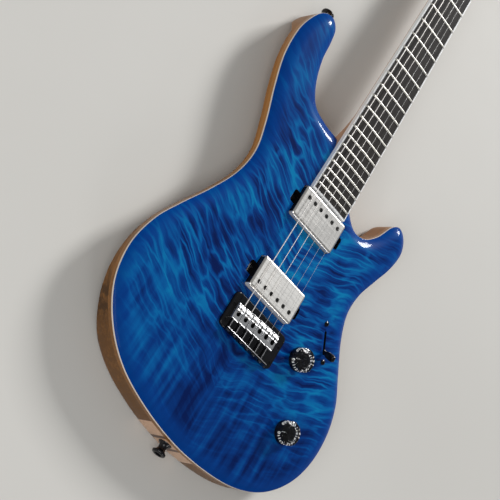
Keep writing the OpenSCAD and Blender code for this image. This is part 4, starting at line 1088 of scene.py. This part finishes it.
def neckShaft():
    stations = neck["heelStations"] + neck["shaftStations"] + neck["scoopStations"]
    stations = [y for y in stations if y < neck["endY"]] + [neck["endY"]]
    r, low = head["round"], head["back"]
    form = Form()
    form.rings([neckRing(y, blank["topZ"]) for y in stations])
    form.rings([neckRing(y, head["wood"] - head["shaftDrop"]) for y in neck["endStations"]])
    form.stack(headLoop(), ((r, low), (r * 0.3, low + r * 0.3), (0, low + r), (0, head["wood"])))
    form.build("neckShaft", [coreWood], [], "core_wood", sharp=35)


trussCover = {
    "plan": ((-13, 2), (13, 2), (12, 16), (5, 40), (-5, 40), (-12, 16)),
    "corner": 1.6,
    "thick": 2.0,
    "edge": 0.6,
    "screws": ((0, 36), (-8, 7), (8, 7)),
    "screwTurn": 33,
}


def slab(loop, low, high, edge):  # a plate with an eased top edge
    rims = ((0, low), (0, high - edge), (edge * 0.3, high - edge * 0.3), (edge, high))
    return Form().stack(loop, rims)


def headFace():
    outer = headLoop()
    right = [p for p in outer[:len(outer) // 2 + 1] if p[1] >= neck["endY"]]
    near = boardHalf(strings["scale"]) + head["faceGap"]
    loop = [(near, neck["endY"])] + right + mirrored(right)[1:] + [(-near, neck["endY"])]
    form = slab(loop, head["wood"], head["face"], head["faceEdge"])
    rim = [head["rim"]] * len(form.points)
    form.build("headFace", [blueTop], ["headstock_veneer"], "blue_figured_top", sharp=40, values=rim)
    plan = rounded([(x, neck["endY"] + y) for x, y in trussCover["plan"]], trussCover["corner"])
    plate = slab(plan, head["face"], head["face"] + trussCover["thick"], trussCover["edge"])
    plate.build("trussCover", [blackGloss], ["truss_rod_cover"], "black_plastic")


def boardTopZ(x):
    return blank["topZ"] + neck["boardThick"] - crownDrop(x)


edging = {
    "insets": (0.0, 0.95, 1.25, 1.6),  # outer line, ink line, inner line
    "slots": [0, 0, 1, 0, 0, 0],
    "ease": 0.12,
    "across": 16,
    "rows": 24,
    "sideRows": (648.0, 486.0, 324.0, 200.0),
}


def fretboard():
    y0, y1 = neck["boardEndY"], strings["scale"]
    low, total, across = blank["topZ"], edging["insets"][-1], edging["across"]
    rings = []
    for k in range(edging["rows"] + 1):
        y = y0 + total + (y1 - y0 - total) * k / edging["rows"]
        half = boardHalf(y) - total
        top = [half * (1 - 2 * j / across) for j in range(across + 1)]
        rings.append([(x, y, boardTopZ(x)) for x in top] + [(-half, y, low), (half, y, low)])
    Form().rings(rings).build("fretboard", [board], ["fretboard"], "dark_board", sharp=30)

    def path(d):  # down one side, across the end and up the other
        right = [(boardHalf(y) - d, y) for y in edging["sideRows"]]
        corner = boardHalf(y0 + d) - d
        end = [(corner * (1 - 2 * j / across), y0 + d) for j in range(across + 1)]
        return right + end + mirrored(right)

    paths = [path(d) for d in edging["insets"]]
    lines = [lift(paths[0], low), lift(paths[0], lambda p: boardTopZ(p[0]) - edging["ease"])]
    lines += [lift(line, lambda p: boardTopZ(p[0])) for line in paths[1:]] + [lift(paths[-1], low)]
    form = Form().rings(list(zip(*lines)))
    form.slots = edging["slots"] * (len(paths[0]) - 1) + [0, 0]
    form.build("boardEdging", [ivory, inkLine], ["fretboard_binding"], "cream_plastic", sharp=40)


fretWire = {
    "count": 24,
    "half": 1.2,
    "height": 1.25,
    "inset": 0.4,
    "sink": 0.15,
    "endLow": 0.25,
    "endRun": 1.6,
    "across": 24,
    "bow": 0.8,  # below 1 for a fuller crown
}


def fretWires():
    form = Form()
    bend = [(math.cos(a), math.sin(a) ** fretWire["bow"]) for a in arc(0, 180, 8)]
    for n in range(1, fretWire["count"] + 1):
        y = strings["scale"] / 2 ** (n / 12)
        half = boardHalf(y) - fretWire["inset"]
        rings = []
        for k in range(fretWire["across"] + 1):
            x = half * (1 - 2 * k / fretWire["across"])
            end = min(1.0, fretWire["endLow"] + (half - abs(x)) / fretWire["endRun"])
            base, high = boardTopZ(x) - fretWire["sink"], fretWire["height"] * end
            rings.append([(x, y + fretWire["half"] * u, base + high * v) for u, v in bend])
        form.rings(rings)
    form.build("fretWires", [fretSteel], ["frets"], "bright_steel", sharp=50)


nut = {
    "side": 0.25,
    "ease": 0.16,  # of each groove, beside the string
    "rise": (0.25, 0.25, 0.25, 0.35, 0.35, 0.35),
    "groove": ((-1, 0), (-0.7, -0.7), (0, -1), (0.7, -0.7), (1, 0)),
    "shoulder": ((0.0, 47.6), (1.2, 48.9)),
    "rows": ((0.02, 0.0, 0.0), (2.75, 0.02, 0.02), (5.0, 0.5, 0.0)),  # along the neck, drop of top and foot
}


def nutBlock():
    half = neck["nutHalf"] - nut["side"]
    left = [(-half + u, z) for u, z in nut["shoulder"]]
    line = []
    for i in courses[::-1]:
        r = strings["radii"][i - 1] + nut["ease"]
        x = nutX(i)
        z = strings["nutZ"] - crownDrop(x)
        top = z + nut["rise"][i - 1]
        line += [(x - r, top)] + [(x + u * r, z + v * r) for u, v in nut["groove"]] + [(x + r, top)]
    loop = left + line + mirrored(left) + [(half, blank["topZ"]), (-half, blank["topZ"])]
    rings = []
    for along, drop, footDrop in nut["rows"]:
        drops = [drop if z > blank["topZ"] else footDrop for _, z in loop]
        rings.append([(x, strings["scale"] + along, z - d) for (x, z), d in zip(loop, drops)])
    Form().rings(rings).build("nutBlock", [bone], ["nut"], "cream_plastic", sharp=40)


neckShaft()
headFace()
fretboard()
fretWires()
nutBlock()
print("neck made")

# Pickups


def pickup(node, side):
    y, topZ = pickupY[node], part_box(node + "_cover")[1].z / mm
    endX, endZ = pickups["length"] / 2 - pickups["endFrom"], topZ - pickups["endDrop"]
    loop = shifted(oval(pickups["length"], pickups["width"], pickups["corner"]), 0, y)
    rims = [(0, topZ - pickups["coverH"])] + [(d, topZ - drop) for d, drop in pickups["rim"]]
    form = Form().stack(loop, rims, caps=openEnds, bands=pickups["bands"])
    for k, face in enumerate(form.faces):  # the ends below the bevel are black
        if all(abs(form.points[i].x) > endX and form.points[i].z < endZ for i in face):
            form.slots[k] = 2
    poles = [((3.5 - i) * pickups["polePitch"], y + side * pickups["poleRow"]) for i in courses]
    holes = [shifted(ring(pickups["holeR"], 28), *p) for p in poles]
    form.sheet([inset(loop, rims[-1][0]), *holes], topZ)
    for hole in holes:
        form.wall(hole, topZ - pickups["holeDepth"], topZ, 2)
    finishes = [nickel, nickelBright, blackGloss]
    form.build(node + "Cover", finishes, [node + "_cover"], "satin_nickel", sharp=28, body=node)
    form = Form()
    start, more = pickups["poleTurn"]
    for k, p in enumerate(poles):
        screw(form, moved(*p, topZ - pickups["poleSink"]), "pole", turned=start + more * k)
    for s in (-1, 1):
        at = moved(s * pickups["earX"], y, topZ - pickups["coverH"])
        screw(form, at, "ear", turned=pickups["earTurn"])
    form.build(node + "Screws", [poleSteel], [node + "_screws"], "pole_steel", sharp=40, body=node)


pickup("neck_pickup", 1)
pickup("bridge_pickup", -1)
print("pickups made")

# Bridge, saddles and strings

bridge = {
    "width": 83.0,
    "shift": 3.0,
    "front": 8.5,
    "rear": -33.0,
    "floor": 3.2,
    "corner": 6.0,
    "edge": 1.4,
    "flatFrom": 1.9,
    "lipH": 7.5,
    "lipThick": 2.4,
    "lipHalf": 33.1,
    "lipRound": 0.8,
    "lipEnds": ((0.0, 0.6), (0.2, 0.2), (0.6, 0.0)),
    "glint": (0.9, 0.75),  # painted highlight band: back from the lip's front, down from its top
    "screwX": 37.5,
    "screwRows": (-6.0, -25.0),
    "sinkR": (1.9, 2.95),
    "sinkDepth": 1.8,
    "screwSink": 1.6,
    "screwTurn": 40,
}
bridgeScrews = [(bridge["shift"] + s * bridge["screwX"], y) for s in (-1, 1) for y in bridge["screwRows"]]


def bridgeBase():
    z0, rear, edge = blank["topZ"], bridge["rear"], bridge["edge"]
    depth = bridge["front"] - rear
    plan = shifted(oval(bridge["width"], depth, bridge["corner"], 8), bridge["shift"], rear + depth / 2)
    floorZ = z0 + bridge["floor"]
    rims = [(edge * (1 - math.cos(a)), floorZ - edge * (1 - math.sin(a))) for a in arc(0, 90, 6)]
    rims = [(0, z0), *rims, (bridge["flatFrom"], floorZ)]
    form = Form().stack(plan, rims, caps=openTop)
    inner, outer = bridge["sinkR"]
    holes = [shifted(ring(outer, 24), *p) for p in bridgeScrews]
    form.sheet([inset(plan, bridge["flatFrom"]), *holes], floorZ)
    for hole, p in zip(holes, bridgeScrews):
        sink = lift(shifted(ring(inner, 24), *p), floorZ - bridge["sinkDepth"])
        form.rings([sink, lift(hole, floorZ)], caps=openTop)
    front, top, reach = rear + bridge["lipThick"], z0 + bridge["lipH"], bridge["lipHalf"]
    lip = rounded([(rear, z0 + 1), (front, z0 + 1), (front, top), (rear, top)], bridge["lipRound"])
    ends = [(-reach + u, d) for u, d in bridge["lipEnds"]]
    ends += mirrored(ends)
    start = len(form.faces)
    form.rings([[(bridge["shift"] + x, y, z) for y, z in inset(lip, d)] for x, d in ends])
    glintY, glintZ = front - bridge["glint"][0], top - bridge["glint"][1]
    for k in range(start, len(form.faces) - 2):  # painted highlight: the lip's front top edge gets a pale metal finish as its glint
        if all(form.points[i].y > glintY and form.points[i].z > glintZ for i in form.faces[k]):
            form.slots[k] = 1
    form.build("bridgeBase", [blackGloss, edgeGlint], ["bridge_base"], "black_metal", sharp=35)


saddle = {
    "half": 5.1,
    "front": 1.8,
    "rear": -17.0,
    "corner": 0.7,
    "low": 44.5,
    "gap": 0.3,
    "ridge": ((-17.0, -1.0), (-16.3, -1.0), (-16.0, -1.5), (-11.9, -1.2), (-6.6, -0.9), (-5.8, 0.0),
              (-3.4, 0.0), (1.0, -1.6), (1.8, -2.4)),
    "rim": ((0.0, 0.7), (0.12, 0.32), (0.4, 0.06), (0.8, 0.0)),
    "gridX": [0.6 * k - 4.2 for k in range(15)],
    "gridY": (-16.3, -16.0, -11.9, -6.6, -5.8, -3.4, 1.0, -15, -13.5, -10.4, -9, -7.8, -4.6, -2, -0.8),
    "slotHalf": 0.95,
    "slotFront": -2.6,
    "holeR": 2.5,
    "holeAt": (-8.6, -9.8),
    "screwAt": ((-3.3, -0.3), (3.3, -0.3)),
    "screwR": 1.15,
    "screwDepth": 3.5,
    "screwSink": 2.2,
}


def keyhole():  # the string's groove in the crest, open to the hole behind it
    w, r = saddle["slotHalf"], saddle["holeR"]
    near, far = saddle["holeAt"]
    bend = math.degrees(math.asin(w / r))
    tip = [(w * math.cos(a), saddle["slotFront"] - w + w * math.sin(a)) for a in arc(0, 180, 8)]
    left = [(r * math.cos(a), near + r * math.sin(a)) for a in arc(90 + bend, 180, 6)]
    base = [(r * math.cos(a), far + r * math.sin(a)) for a in arc(180, 360, 12)]
    return tip + left + base + mirrored(left)


def saddleBlock(i):
    x = stringX(i)
    place = moved(x, saddleY(i))
    top = strings["saddleZ"] - crownDrop(x) - strings["radii"][i - 1] - saddle["gap"]
    half, front, rear = saddle["half"], saddle["front"], saddle["rear"]
    plan = rounded([(-half, rear), (half, rear), (half, front), (-half, front)], saddle["corner"], 3)
    groove = keyhole()
    holes = [shifted(ring(saddle["screwR"], 16), *p) for p in saddle["screwAt"]]

    def level(p):
        return top + float(np.interp(p[1], *zip(*saddle["ridge"])))

    rims = [(inset(plan, d), drop) for d, drop in saddle["rim"]]
    rings = [lift(plan, saddle["low"])]
    rings += [[(u, v, z - drop) for u, v, z in lift(rim, level)] for rim, drop in rims]
    form = Form().rings(rings, place=place, caps=openTop)
    inner = [(u, v) for u in saddle["gridX"] for v in saddle["gridY"]]
    form.sheet([rims[-1][0], groove, *holes], level, 0, place, inner)
    form.wall(groove, saddle["low"], level, 1, place, floor=True)
    for hole, p in zip(holes, saddle["screwAt"]):
        form.wall(hole, top - saddle["screwDepth"], level, 1, place, floor=True)
        screw(form, place @ moved(*p, top - saddle["screwSink"]), "saddle", 2)
    node = f"saddle_{i}"
    finishes = [chrome, blackMatte, plainSteel]
    form.build(f"saddleBlock{i}", finishes, [node], "bright_chrome", sharp=30, body=node)


intonation = {"r": (1.25, 1.09), "z": 46.4, "reach": 12.2, "thread": 0.5, "turn": 15}


def intonationScrews():
    form = Form()
    for i in courses:
        place = moved(stringX(i), bridge["rear"], intonation["z"]) @ spin(90, "X")
        screw(form, place, "intonation", turned=intonation["turn"] * i)
        length = saddleY(i) - intonation["reach"] - bridge["rear"]
        count = 2 * int(length / intonation["thread"])
        profile = [(intonation["r"][k % 2], -length * k / count) for k in range(count + 1)]
        form.lathe(profile[::-1], place, steps=14)
    form.build("intonationScrews", [blackSteel], ["intonation_screws"], "black_metal", sharp=60)


tuners = {
    "postX": 26.0,
    "first": 52.0,
    "pitch": 40.0,
    "postR": 3.0,
    "postRise": 9.0,
    "postWaist": ((0, -1.6), (0.35, -1.0), (0.35, 1.0), (0, 1.6)),  # inset, height about the wraps
    "postTip": ((0, -0.5), (0.5, 0)),
    "wrapDrop": 2.8,
    "wrapTop": 0.9,
    "wrapPitch": 1.9,  # times the string's radius
    "wrapTurns": 3,
    "wrapSteps": 24,
    "stringGap": 1.0,
    "wormOffset": 7.2,
    "wormDrop": 5.0,
    "screwY": -11.4,
    "screwSink": 3.0,
    "screwTurn": 17,
}


def tunerSide(i):
    return 1 if i <= 3 else -1


def tunerRow(i):
    return i - 1 if i <= 3 else 6 - i


def tunerY(i):
    return strings["scale"] + tuners["first"] + tunerRow(i) * tuners["pitch"]


def wrapZ(i):
    return head["face"] + tuners["postRise"] - tuners["wrapDrop"] - tunerRow(i)


def stringSet():
    form = Form()
    cups = Form()
    for i in courses:
        r, x = strings["radii"][i - 1], stringX(i)
        holeY = saddleY(i) - strings["down"]
        nutHigh = strings["nutZ"] - crownDrop(nutX(i))
        *rise, low = [Vector((x, holeY, z)) for z in strings["lowZ"]]
        bend = Vector((x, saddleY(i) - strings["bend"], strings["saddleZ"] - crownDrop(x)))
        nutAt = Vector((nutX(i), strings["scale"], nutHigh))
        nutRear = Vector((nutX(i), neck["endY"], nutHigh - strings["nutDrop"]))
        endX = tunerSide(i) * (tuners["postX"] - tuners["postR"] - tuners["stringGap"] - r)
        post = Vector((endX, tunerY(i), wrapZ(i)))
        before, after = [bend + (p - bend).normalized() * strings["bendReach"] for p in (low, nutAt)]
        route = [*rise, low, *bow(before, bend, after, 8), *between(after, nutAt, 12)]
        route += [nutAt.lerp(nutRear, 0.7), nutRear.lerp(post, 0.02), *between(nutRear, post, 6)]
        form.tube(route, r, sides=10, slot=0 if i > 3 else 1)
        form.lathe(ferrule["ball"], moved(x, holeY), slot=2, steps=20)
        cups.lathe(ferrule["cup"], moved(x, holeY), steps=36, caps=openEnds)
    form.build("stringSet", [wound, plainString, brass], ["strings"], "bright_steel", sharp=45)
    cups.build("stringFerrules", [chrome], ["string_ferrules"], "bright_steel", sharp=40)


bridgeBase()
for i in courses:
    saddleBlock(i)
intonationScrews()
stringSet()
print("bridge and strings made")

# Controls

knob = {  # a clear barrel over a black painted core that carries the numbers
    "lift": 0.8,
    "heading": 182,
    "barrel": ((12.4, 0.0), (12.9, 0.2), (13.0, 0.7), (13.0, 1.2), (12.75, 11.6), (12.65, 12.05),
               (12.4, 12.4), (12.1, 12.6), (8.7, 13.4), (8.4, 13.45), (8.1, 13.35), (7.7, 12.75),
               (7.3, 12.7)),
    "core": ((12.7, 0.4), (12.7, 4.2), (12.5, 4.6), (8.2, 7.6), (7.8, 7.75), (4.8, 7.8), (4.4, 8.2),
             (4.3, 11.9), (4.0, 12.2)),
    "labelR": 10.9,
    "labelZ": 5.77,
    "labelSize": 4.9,
    "labelBold": 0.13,
    "labelThick": 0.05,
    "slope": (4.3, 3.0),
    "sweep": 300.0,
    "steps": 10,
    "tick": ((-0.45, -1.7), (0.45, -1.7), (0.45, 1.1), (-0.45, 1.1)),
    "tickZ": (-0.03, 0.05),
    "pointer": (2.6, 0.45, 0.1),
    "pointerZ": (-0.03, 0.04),
    "pointerAt": (6.4, 2.5, 7.8, 22.0),
}


def label(text):  # outline of a number as points and faces
    letters = bpy.data.curves.new("label", "FONT")
    letters.body = text
    letters.size = knob["labelSize"]
    letters.align_x = "CENTER"
    letters.align_y = "CENTER"
    letters.extrude = knob["labelThick"]
    letters.offset = knob["labelBold"]
    letters.resolution_u = 2
    holder = bpy.data.objects.new("label", letters)
    scene.collection.objects.link(holder)
    mesh = bpy.data.meshes.new_from_object(holder.evaluated_get(bpy.context.evaluated_depsgraph_get()))
    points = [tuple(v.co) for v in mesh.vertices]
    faces = [tuple(p.vertices) for p in mesh.polygons]
    bpy.data.objects.remove(holder)
    bpy.data.curves.remove(letters)
    bpy.data.meshes.remove(mesh)
    return points, faces


def onSlope(degrees):  # a place on the knob's sloped ring, +Y up the slope
    a = math.radians(degrees)
    out = Vector((math.cos(a), math.sin(a), 0))
    run, rise = knob["slope"]
    up = (Vector((0, 0, rise)) - out * run).normalized()
    normal = (out * rise + Vector((0, 0, run))).normalized()
    place = Matrix((up.cross(normal), up, normal)).transposed().to_4x4()
    place.translation = out * knob["labelR"] + Vector((0, 0, knob["labelZ"]))
    return place


def controlKnob(name, node, body):
    at = middle(node)
    place = moved(at.x, at.y, blank["topZ"] + knob["lift"], knob["heading"])
    barrel = Form().lathe(knob["barrel"], place, steps=96)
    barrel.build(name + "Barrel", [clearPlastic], [], None, sharp=38, body=body)
    form = Form().lathe(knob["core"], place, steps=96)
    pitch = knob["sweep"] / knob["steps"]
    for k in range(knob["steps"] + 1):
        turned = 180 - knob["sweep"] / 2 + pitch * k
        form.add(*label(str(k)), 1, place @ onSlope(turned))
        if k < knob["steps"]:
            tick = [lift(knob["tick"], z) for z in knob["tickZ"]]
            form.rings(tick, 1, place @ onSlope(turned + pitch / 2))
    pointer = [lift(oval(*knob["pointer"]), z) for z in knob["pointerZ"]]
    form.rings(pointer, 1, place @ moved(*knob["pointerAt"]))
    form.build(name, [blackKnob, numeral], [node], "black_plastic", sharp=38, body=body)


def selectorTip():
    place = lever @ Matrix.Translation((0, 0, selector["pivotZ"])) @ spin(selector["tilt"], "Y")
    loops = [lift(oval(a, b, min(a, b) * selector["tipRound"]), u) for u, a, b in selector["tip"]]
    form = Form().rings(loops, place=place)
    form.build("selectorTip", [blackKnob], ["switch_tip"], "black_plastic", sharp=45, body="pickup_selector")


jack = {
    "profile": ((3.25, -30.9), (3.25, 1.6), (3.6, 2.0), (5.0, 2.1), (5.6, 1.4), (5.6, 0.4), (9.0, 0.35),
                (10.1, 0.1), (10.2, -0.4), (10.2, -1.5), (9.3, -1.6), (9.3, -34)),
    "bands": (1,),  # the bore is black
    "nutR": 6.8,
    "nutRound": 0.6,
    "nutRim": ((0.0, 0.3), (0.0, 1.5), (0.5, 2.0)),
    "nutHole": 5.2,
}


def outputJack():
    place = sidePlace(blank["jackPoint"], blank["sideZ"])
    form = Form().lathe(jack["profile"], place, bands=jack["bands"])
    plan = rounded(ring(jack["nutR"], 6), jack["nutRound"], 3)
    form.stack(plan, jack["nutRim"], place=place, caps=openTop)
    d, z = jack["nutRim"][-1]
    form.sheet([inset(plan, d), ring(jack["nutHole"], 32)], z, place=place)
    form.build("outputJack", [chrome, blackMatte], ["output_jack"], "bright_chrome", sharp=32)


def coverScrews():
    spots = zip(cover["circles"], [math.radians(a) for a in cover["screwAt"]])
    reach = cover["ledge"] / 2
    return [(x + (r + reach) * math.cos(a), y + (r + reach) * math.sin(a)) for (x, y, r), a in spots]


def controlCover():
    loop = coverLoop(cover["ledge"])
    plate = Matrix.Diagonal((1, 1, -1, 1))
    holes = [shifted(ring(cover["holeR"], 24), *p) for p in coverScrews()]
    form = Form().stack(loop, cover["rim"], place=plate, caps=openTop)
    form.sheet([inset(loop, cover["rim"][-1][0]), *holes], 0, place=plate)
    for hole in holes:
        form.wall(hole, -cover["holeDepth"], 0, place=plate, floor=True)
    form.build("controlCover", [blackCover], ["control_cover"], "black_cover", sharp=30)


strapButton = {
    "profile": ((2.0, -1.5), (7.5, -1.5), (7.5, 0.2), (7.0, 0.9), (5.2, 2.2), (4.5, 3.6), (4.2, 5.2),
                (4.3, 6.6), (5.0, 8.4), (6.6, 9.6), (7.4, 10.2), (7.5, 11.0), (7.4, 11.9), (6.8, 12.6),
                (6.0, 13.0), (4.4, 13.0), (4.0, 12.6), (4.0, 10.2), (2.0, 10.2), (2.0, -1.5)),
    "screwAt": 10.0,
    "screwTurn": 12,
}
strapPlaces = [sidePlace(index, blank["sideZ"]) for index in blank["strapPoints"]]


def strapButtons():
    form = Form()
    for place in strapPlaces:
        form.lathe(strapButton["profile"], place, caps=openEnds)
    form.build("strapButtons", [blackGloss], ["strap_buttons"], "black_metal", sharp=40)


def mountingScrews():
    form = Form()
    flip = spin(180, "X")
    for k, p in enumerate(bridgeScrews):
        at = moved(*p, blank["topZ"] + bridge["floor"] - bridge["screwSink"])
        screw(form, at, "bridge", turned=bridge["screwTurn"] * k)
    for s in (-1, 1):
        at = lever @ moved(s * selector["screwPitch"] / 2, 0, blank["topZ"])
        screw(form, at, "selector", turned=selector["screwTurn"])
    for k, p in enumerate(coverScrews()):
        screw(form, moved(*p, cover["screwSink"]) @ flip, "cover", 1, cover["screwTurn"] * k)
    for k, (x, y) in enumerate(trussCover["screws"]):
        at = moved(x, neck["endY"] + y, head["face"] + trussCover["thick"])
        screw(form, at, "truss", 1, trussCover["screwTurn"] * k)
    for i in courses:
        x, y = tunerSide(i) * tuners["postX"], tunerY(i) + tuners["screwY"]
        at = moved(x, y, head["back"] - tuners["screwSink"]) @ flip
        screw(form, at, "tuner", turned=tuners["screwTurn"] * i)
    for place in strapPlaces:
        screw(form, place @ moved(0, 0, strapButton["screwAt"]), "strap", turned=strapButton["screwTurn"])
    form.build("mountingScrews", [blackGloss, plainSteel], ["mounting_screws"], "plain_steel", sharp=35)


controlKnob("volumeKnob", "volume_knob", "volume_control")
controlKnob("toneKnob", "tone_knob", "tone_control")
selectorTip()
outputJack()
controlCover()
strapButtons()
mountingScrews()
print("controls made")

# Tuners

housing = {
    "plan": (17, 21, 4),
    "at": (0.5, 1.6),
    "rim": ((0, 0), (0, 7.8), (0.35, 8.8), (1.1, 9.6), (2.2, 10.0)),
    "lugR": 3.4,
    "lugRim": ((0, 0), (0, 2.6), (0.4, 3.0)),
    "collarX": 9.0,
    "collar": ((3.2, -0.6), (3.2, 1.0), (2.8, 1.5), (1.6, 1.5)),
}
bushing = {
    "nutR": 6.4,
    "nutRound": 0.5,
    "nutRim": ((0, 0), (0, 1.1), (0.5, 1.6)),
    "collar": ((4.9, 1.5), (4.9, 2.0), (4.5, 2.3), (3.1, 2.3)),
}


def tunerPlace(i, x=0.0, y=0.0, z=0.0):  # on the post's axis, +X outward
    side = tunerSide(i)
    return moved(side * tuners["postX"], tunerY(i)) @ Matrix.Diagonal((side, 1, 1, 1)) @ moved(x, y, z)


def wormPlace(i, x):
    return tunerPlace(i, x, tuners["wormOffset"], head["back"] - tuners["wormDrop"])


def tunerHousings():
    form = Form()
    bushes = Form()
    for i in courses:
        down = tunerPlace(i, 0, 0, head["back"]) @ Matrix.Diagonal((1, 1, -1, 1))
        form.stack(shifted(oval(*housing["plan"]), *housing["at"]), housing["rim"], place=down)
        form.stack(shifted(ring(housing["lugR"], 28), 0, tuners["screwY"]), housing["lugRim"], place=down)
        form.lathe(housing["collar"], wormPlace(i, housing["collarX"]) @ spin(90, "Y"), steps=28)
        face = tunerPlace(i, 0, 0, head["face"])
        nutPlan = rounded(ring(bushing["nutR"], 6), bushing["nutRound"], 3)
        bushes.stack(nutPlan, bushing["nutRim"], place=face)
        bushes.lathe(bushing["collar"], face, steps=36)
    form.build("tunerHousings", [blackGloss], ["tuner_housings"], "black_metal", sharp=35)
    bushes.build("tunerBushings", [blackGloss], ["tuner_bushings"], "black_metal", sharp=35)


button = {
    "shaft": ((1.45, -4.0), (1.45, 16.0), (2.4, 16.4), (2.9, 18.4), (3.4, 19.5), (2.6, 21.5)),
    "plan": (12.0, 17.0, 5.6, 8),
    "at": 25.0,
    "rim": ((2.6, -3.5), (1.2, -3.15), (0.4, -2.4), (0, -1.3), (0, 1.3), (0.4, 2.4), (1.2, 3.15), (2.6, 3.5)),
}


def tunerButton(i):
    form = Form().lathe(button["shaft"], wormPlace(i, 0) @ spin(90, "Y"), slot=1, steps=28)
    form.stack(oval(*button["plan"]), button["rim"], place=wormPlace(i, button["at"]))
    node = f"tuner_button_{i}"
    form.build(f"tunerButton{i}", [blackGloss, plainSteel], [node], "black_metal", sharp=50, body=node)


def tunerPost(i):
    top = head["face"] + tuners["postRise"] - tunerRow(i)
    low = head["back"] - tuners["wormDrop"]
    r, z, wire = tuners["postR"], wrapZ(i), strings["radii"][i - 1]
    profile = [(r, low)] + [(r - d, z + h) for d, h in tuners["postWaist"]]
    profile += [(r - d, top + h) for d, h in tuners["postTip"]]
    form = Form().lathe(profile, tunerPlace(i), steps=40)
    reach = r - tuners["postWaist"][1][0] + wire
    helix = []
    for k in range(tuners["wrapTurns"] * tuners["wrapSteps"] + 1):
        turned = k / tuners["wrapSteps"]
        a = 2 * math.pi * turned + math.pi
        drop = tuners["wrapPitch"] * wire * turned
        helix.append((reach * math.cos(a), reach * math.sin(a), z + tuners["wrapTop"] - drop))
    form.tube(helix, wire, sides=8, slot=1, place=tunerPlace(i))
    node = f"tuner_post_{i}"
    form.build(f"tunerPost{i}", [blackGloss, plainString], [node], "black_metal", sharp=40, body=node)


tunerHousings()
for i in courses:
    tunerButton(i)
    tunerPost(i)
print("tuners made")

# CAD pieces that stay in view get their finishes

keptNodes = (
    (plainSteel, ("truss_rod", "neck_pickup_springs", "bridge_pickup_springs", "control_pots", "control_nuts",
                  "volume_shaft", "tone_shaft", "switch_frame")),
    (nickel, ("neck_pickup_base", "bridge_pickup_base")),
    (blackMatte, ("neck_pickup_coils", "bridge_pickup_coils")),
    (blackGloss, ("switch_lever",)),
    (blackLead, ("wiring",)),
)
for material, nodes in keptNodes:
    for node in nodes:
        cadNodes[node].data.materials.clear()
        cadNodes[node].data.materials.append(material)
print("kept CAD nodes finished:", sum(len(nodes) for _, nodes in keptNodes))

half = studio["floorSize"] / 2
corners = [(-half, -half), (half, -half), (half, half), (-half, half)]
sheet = bpy.data.meshes.new("floor")
sheet.from_pydata(lift(corners, -studio["floorGap"]), [], [(0, 1, 2, 3)])
sheet.materials.append(floorPaint)
floor = bpy.data.objects.new("floor", sheet)
scene.collection.objects.link(floor)
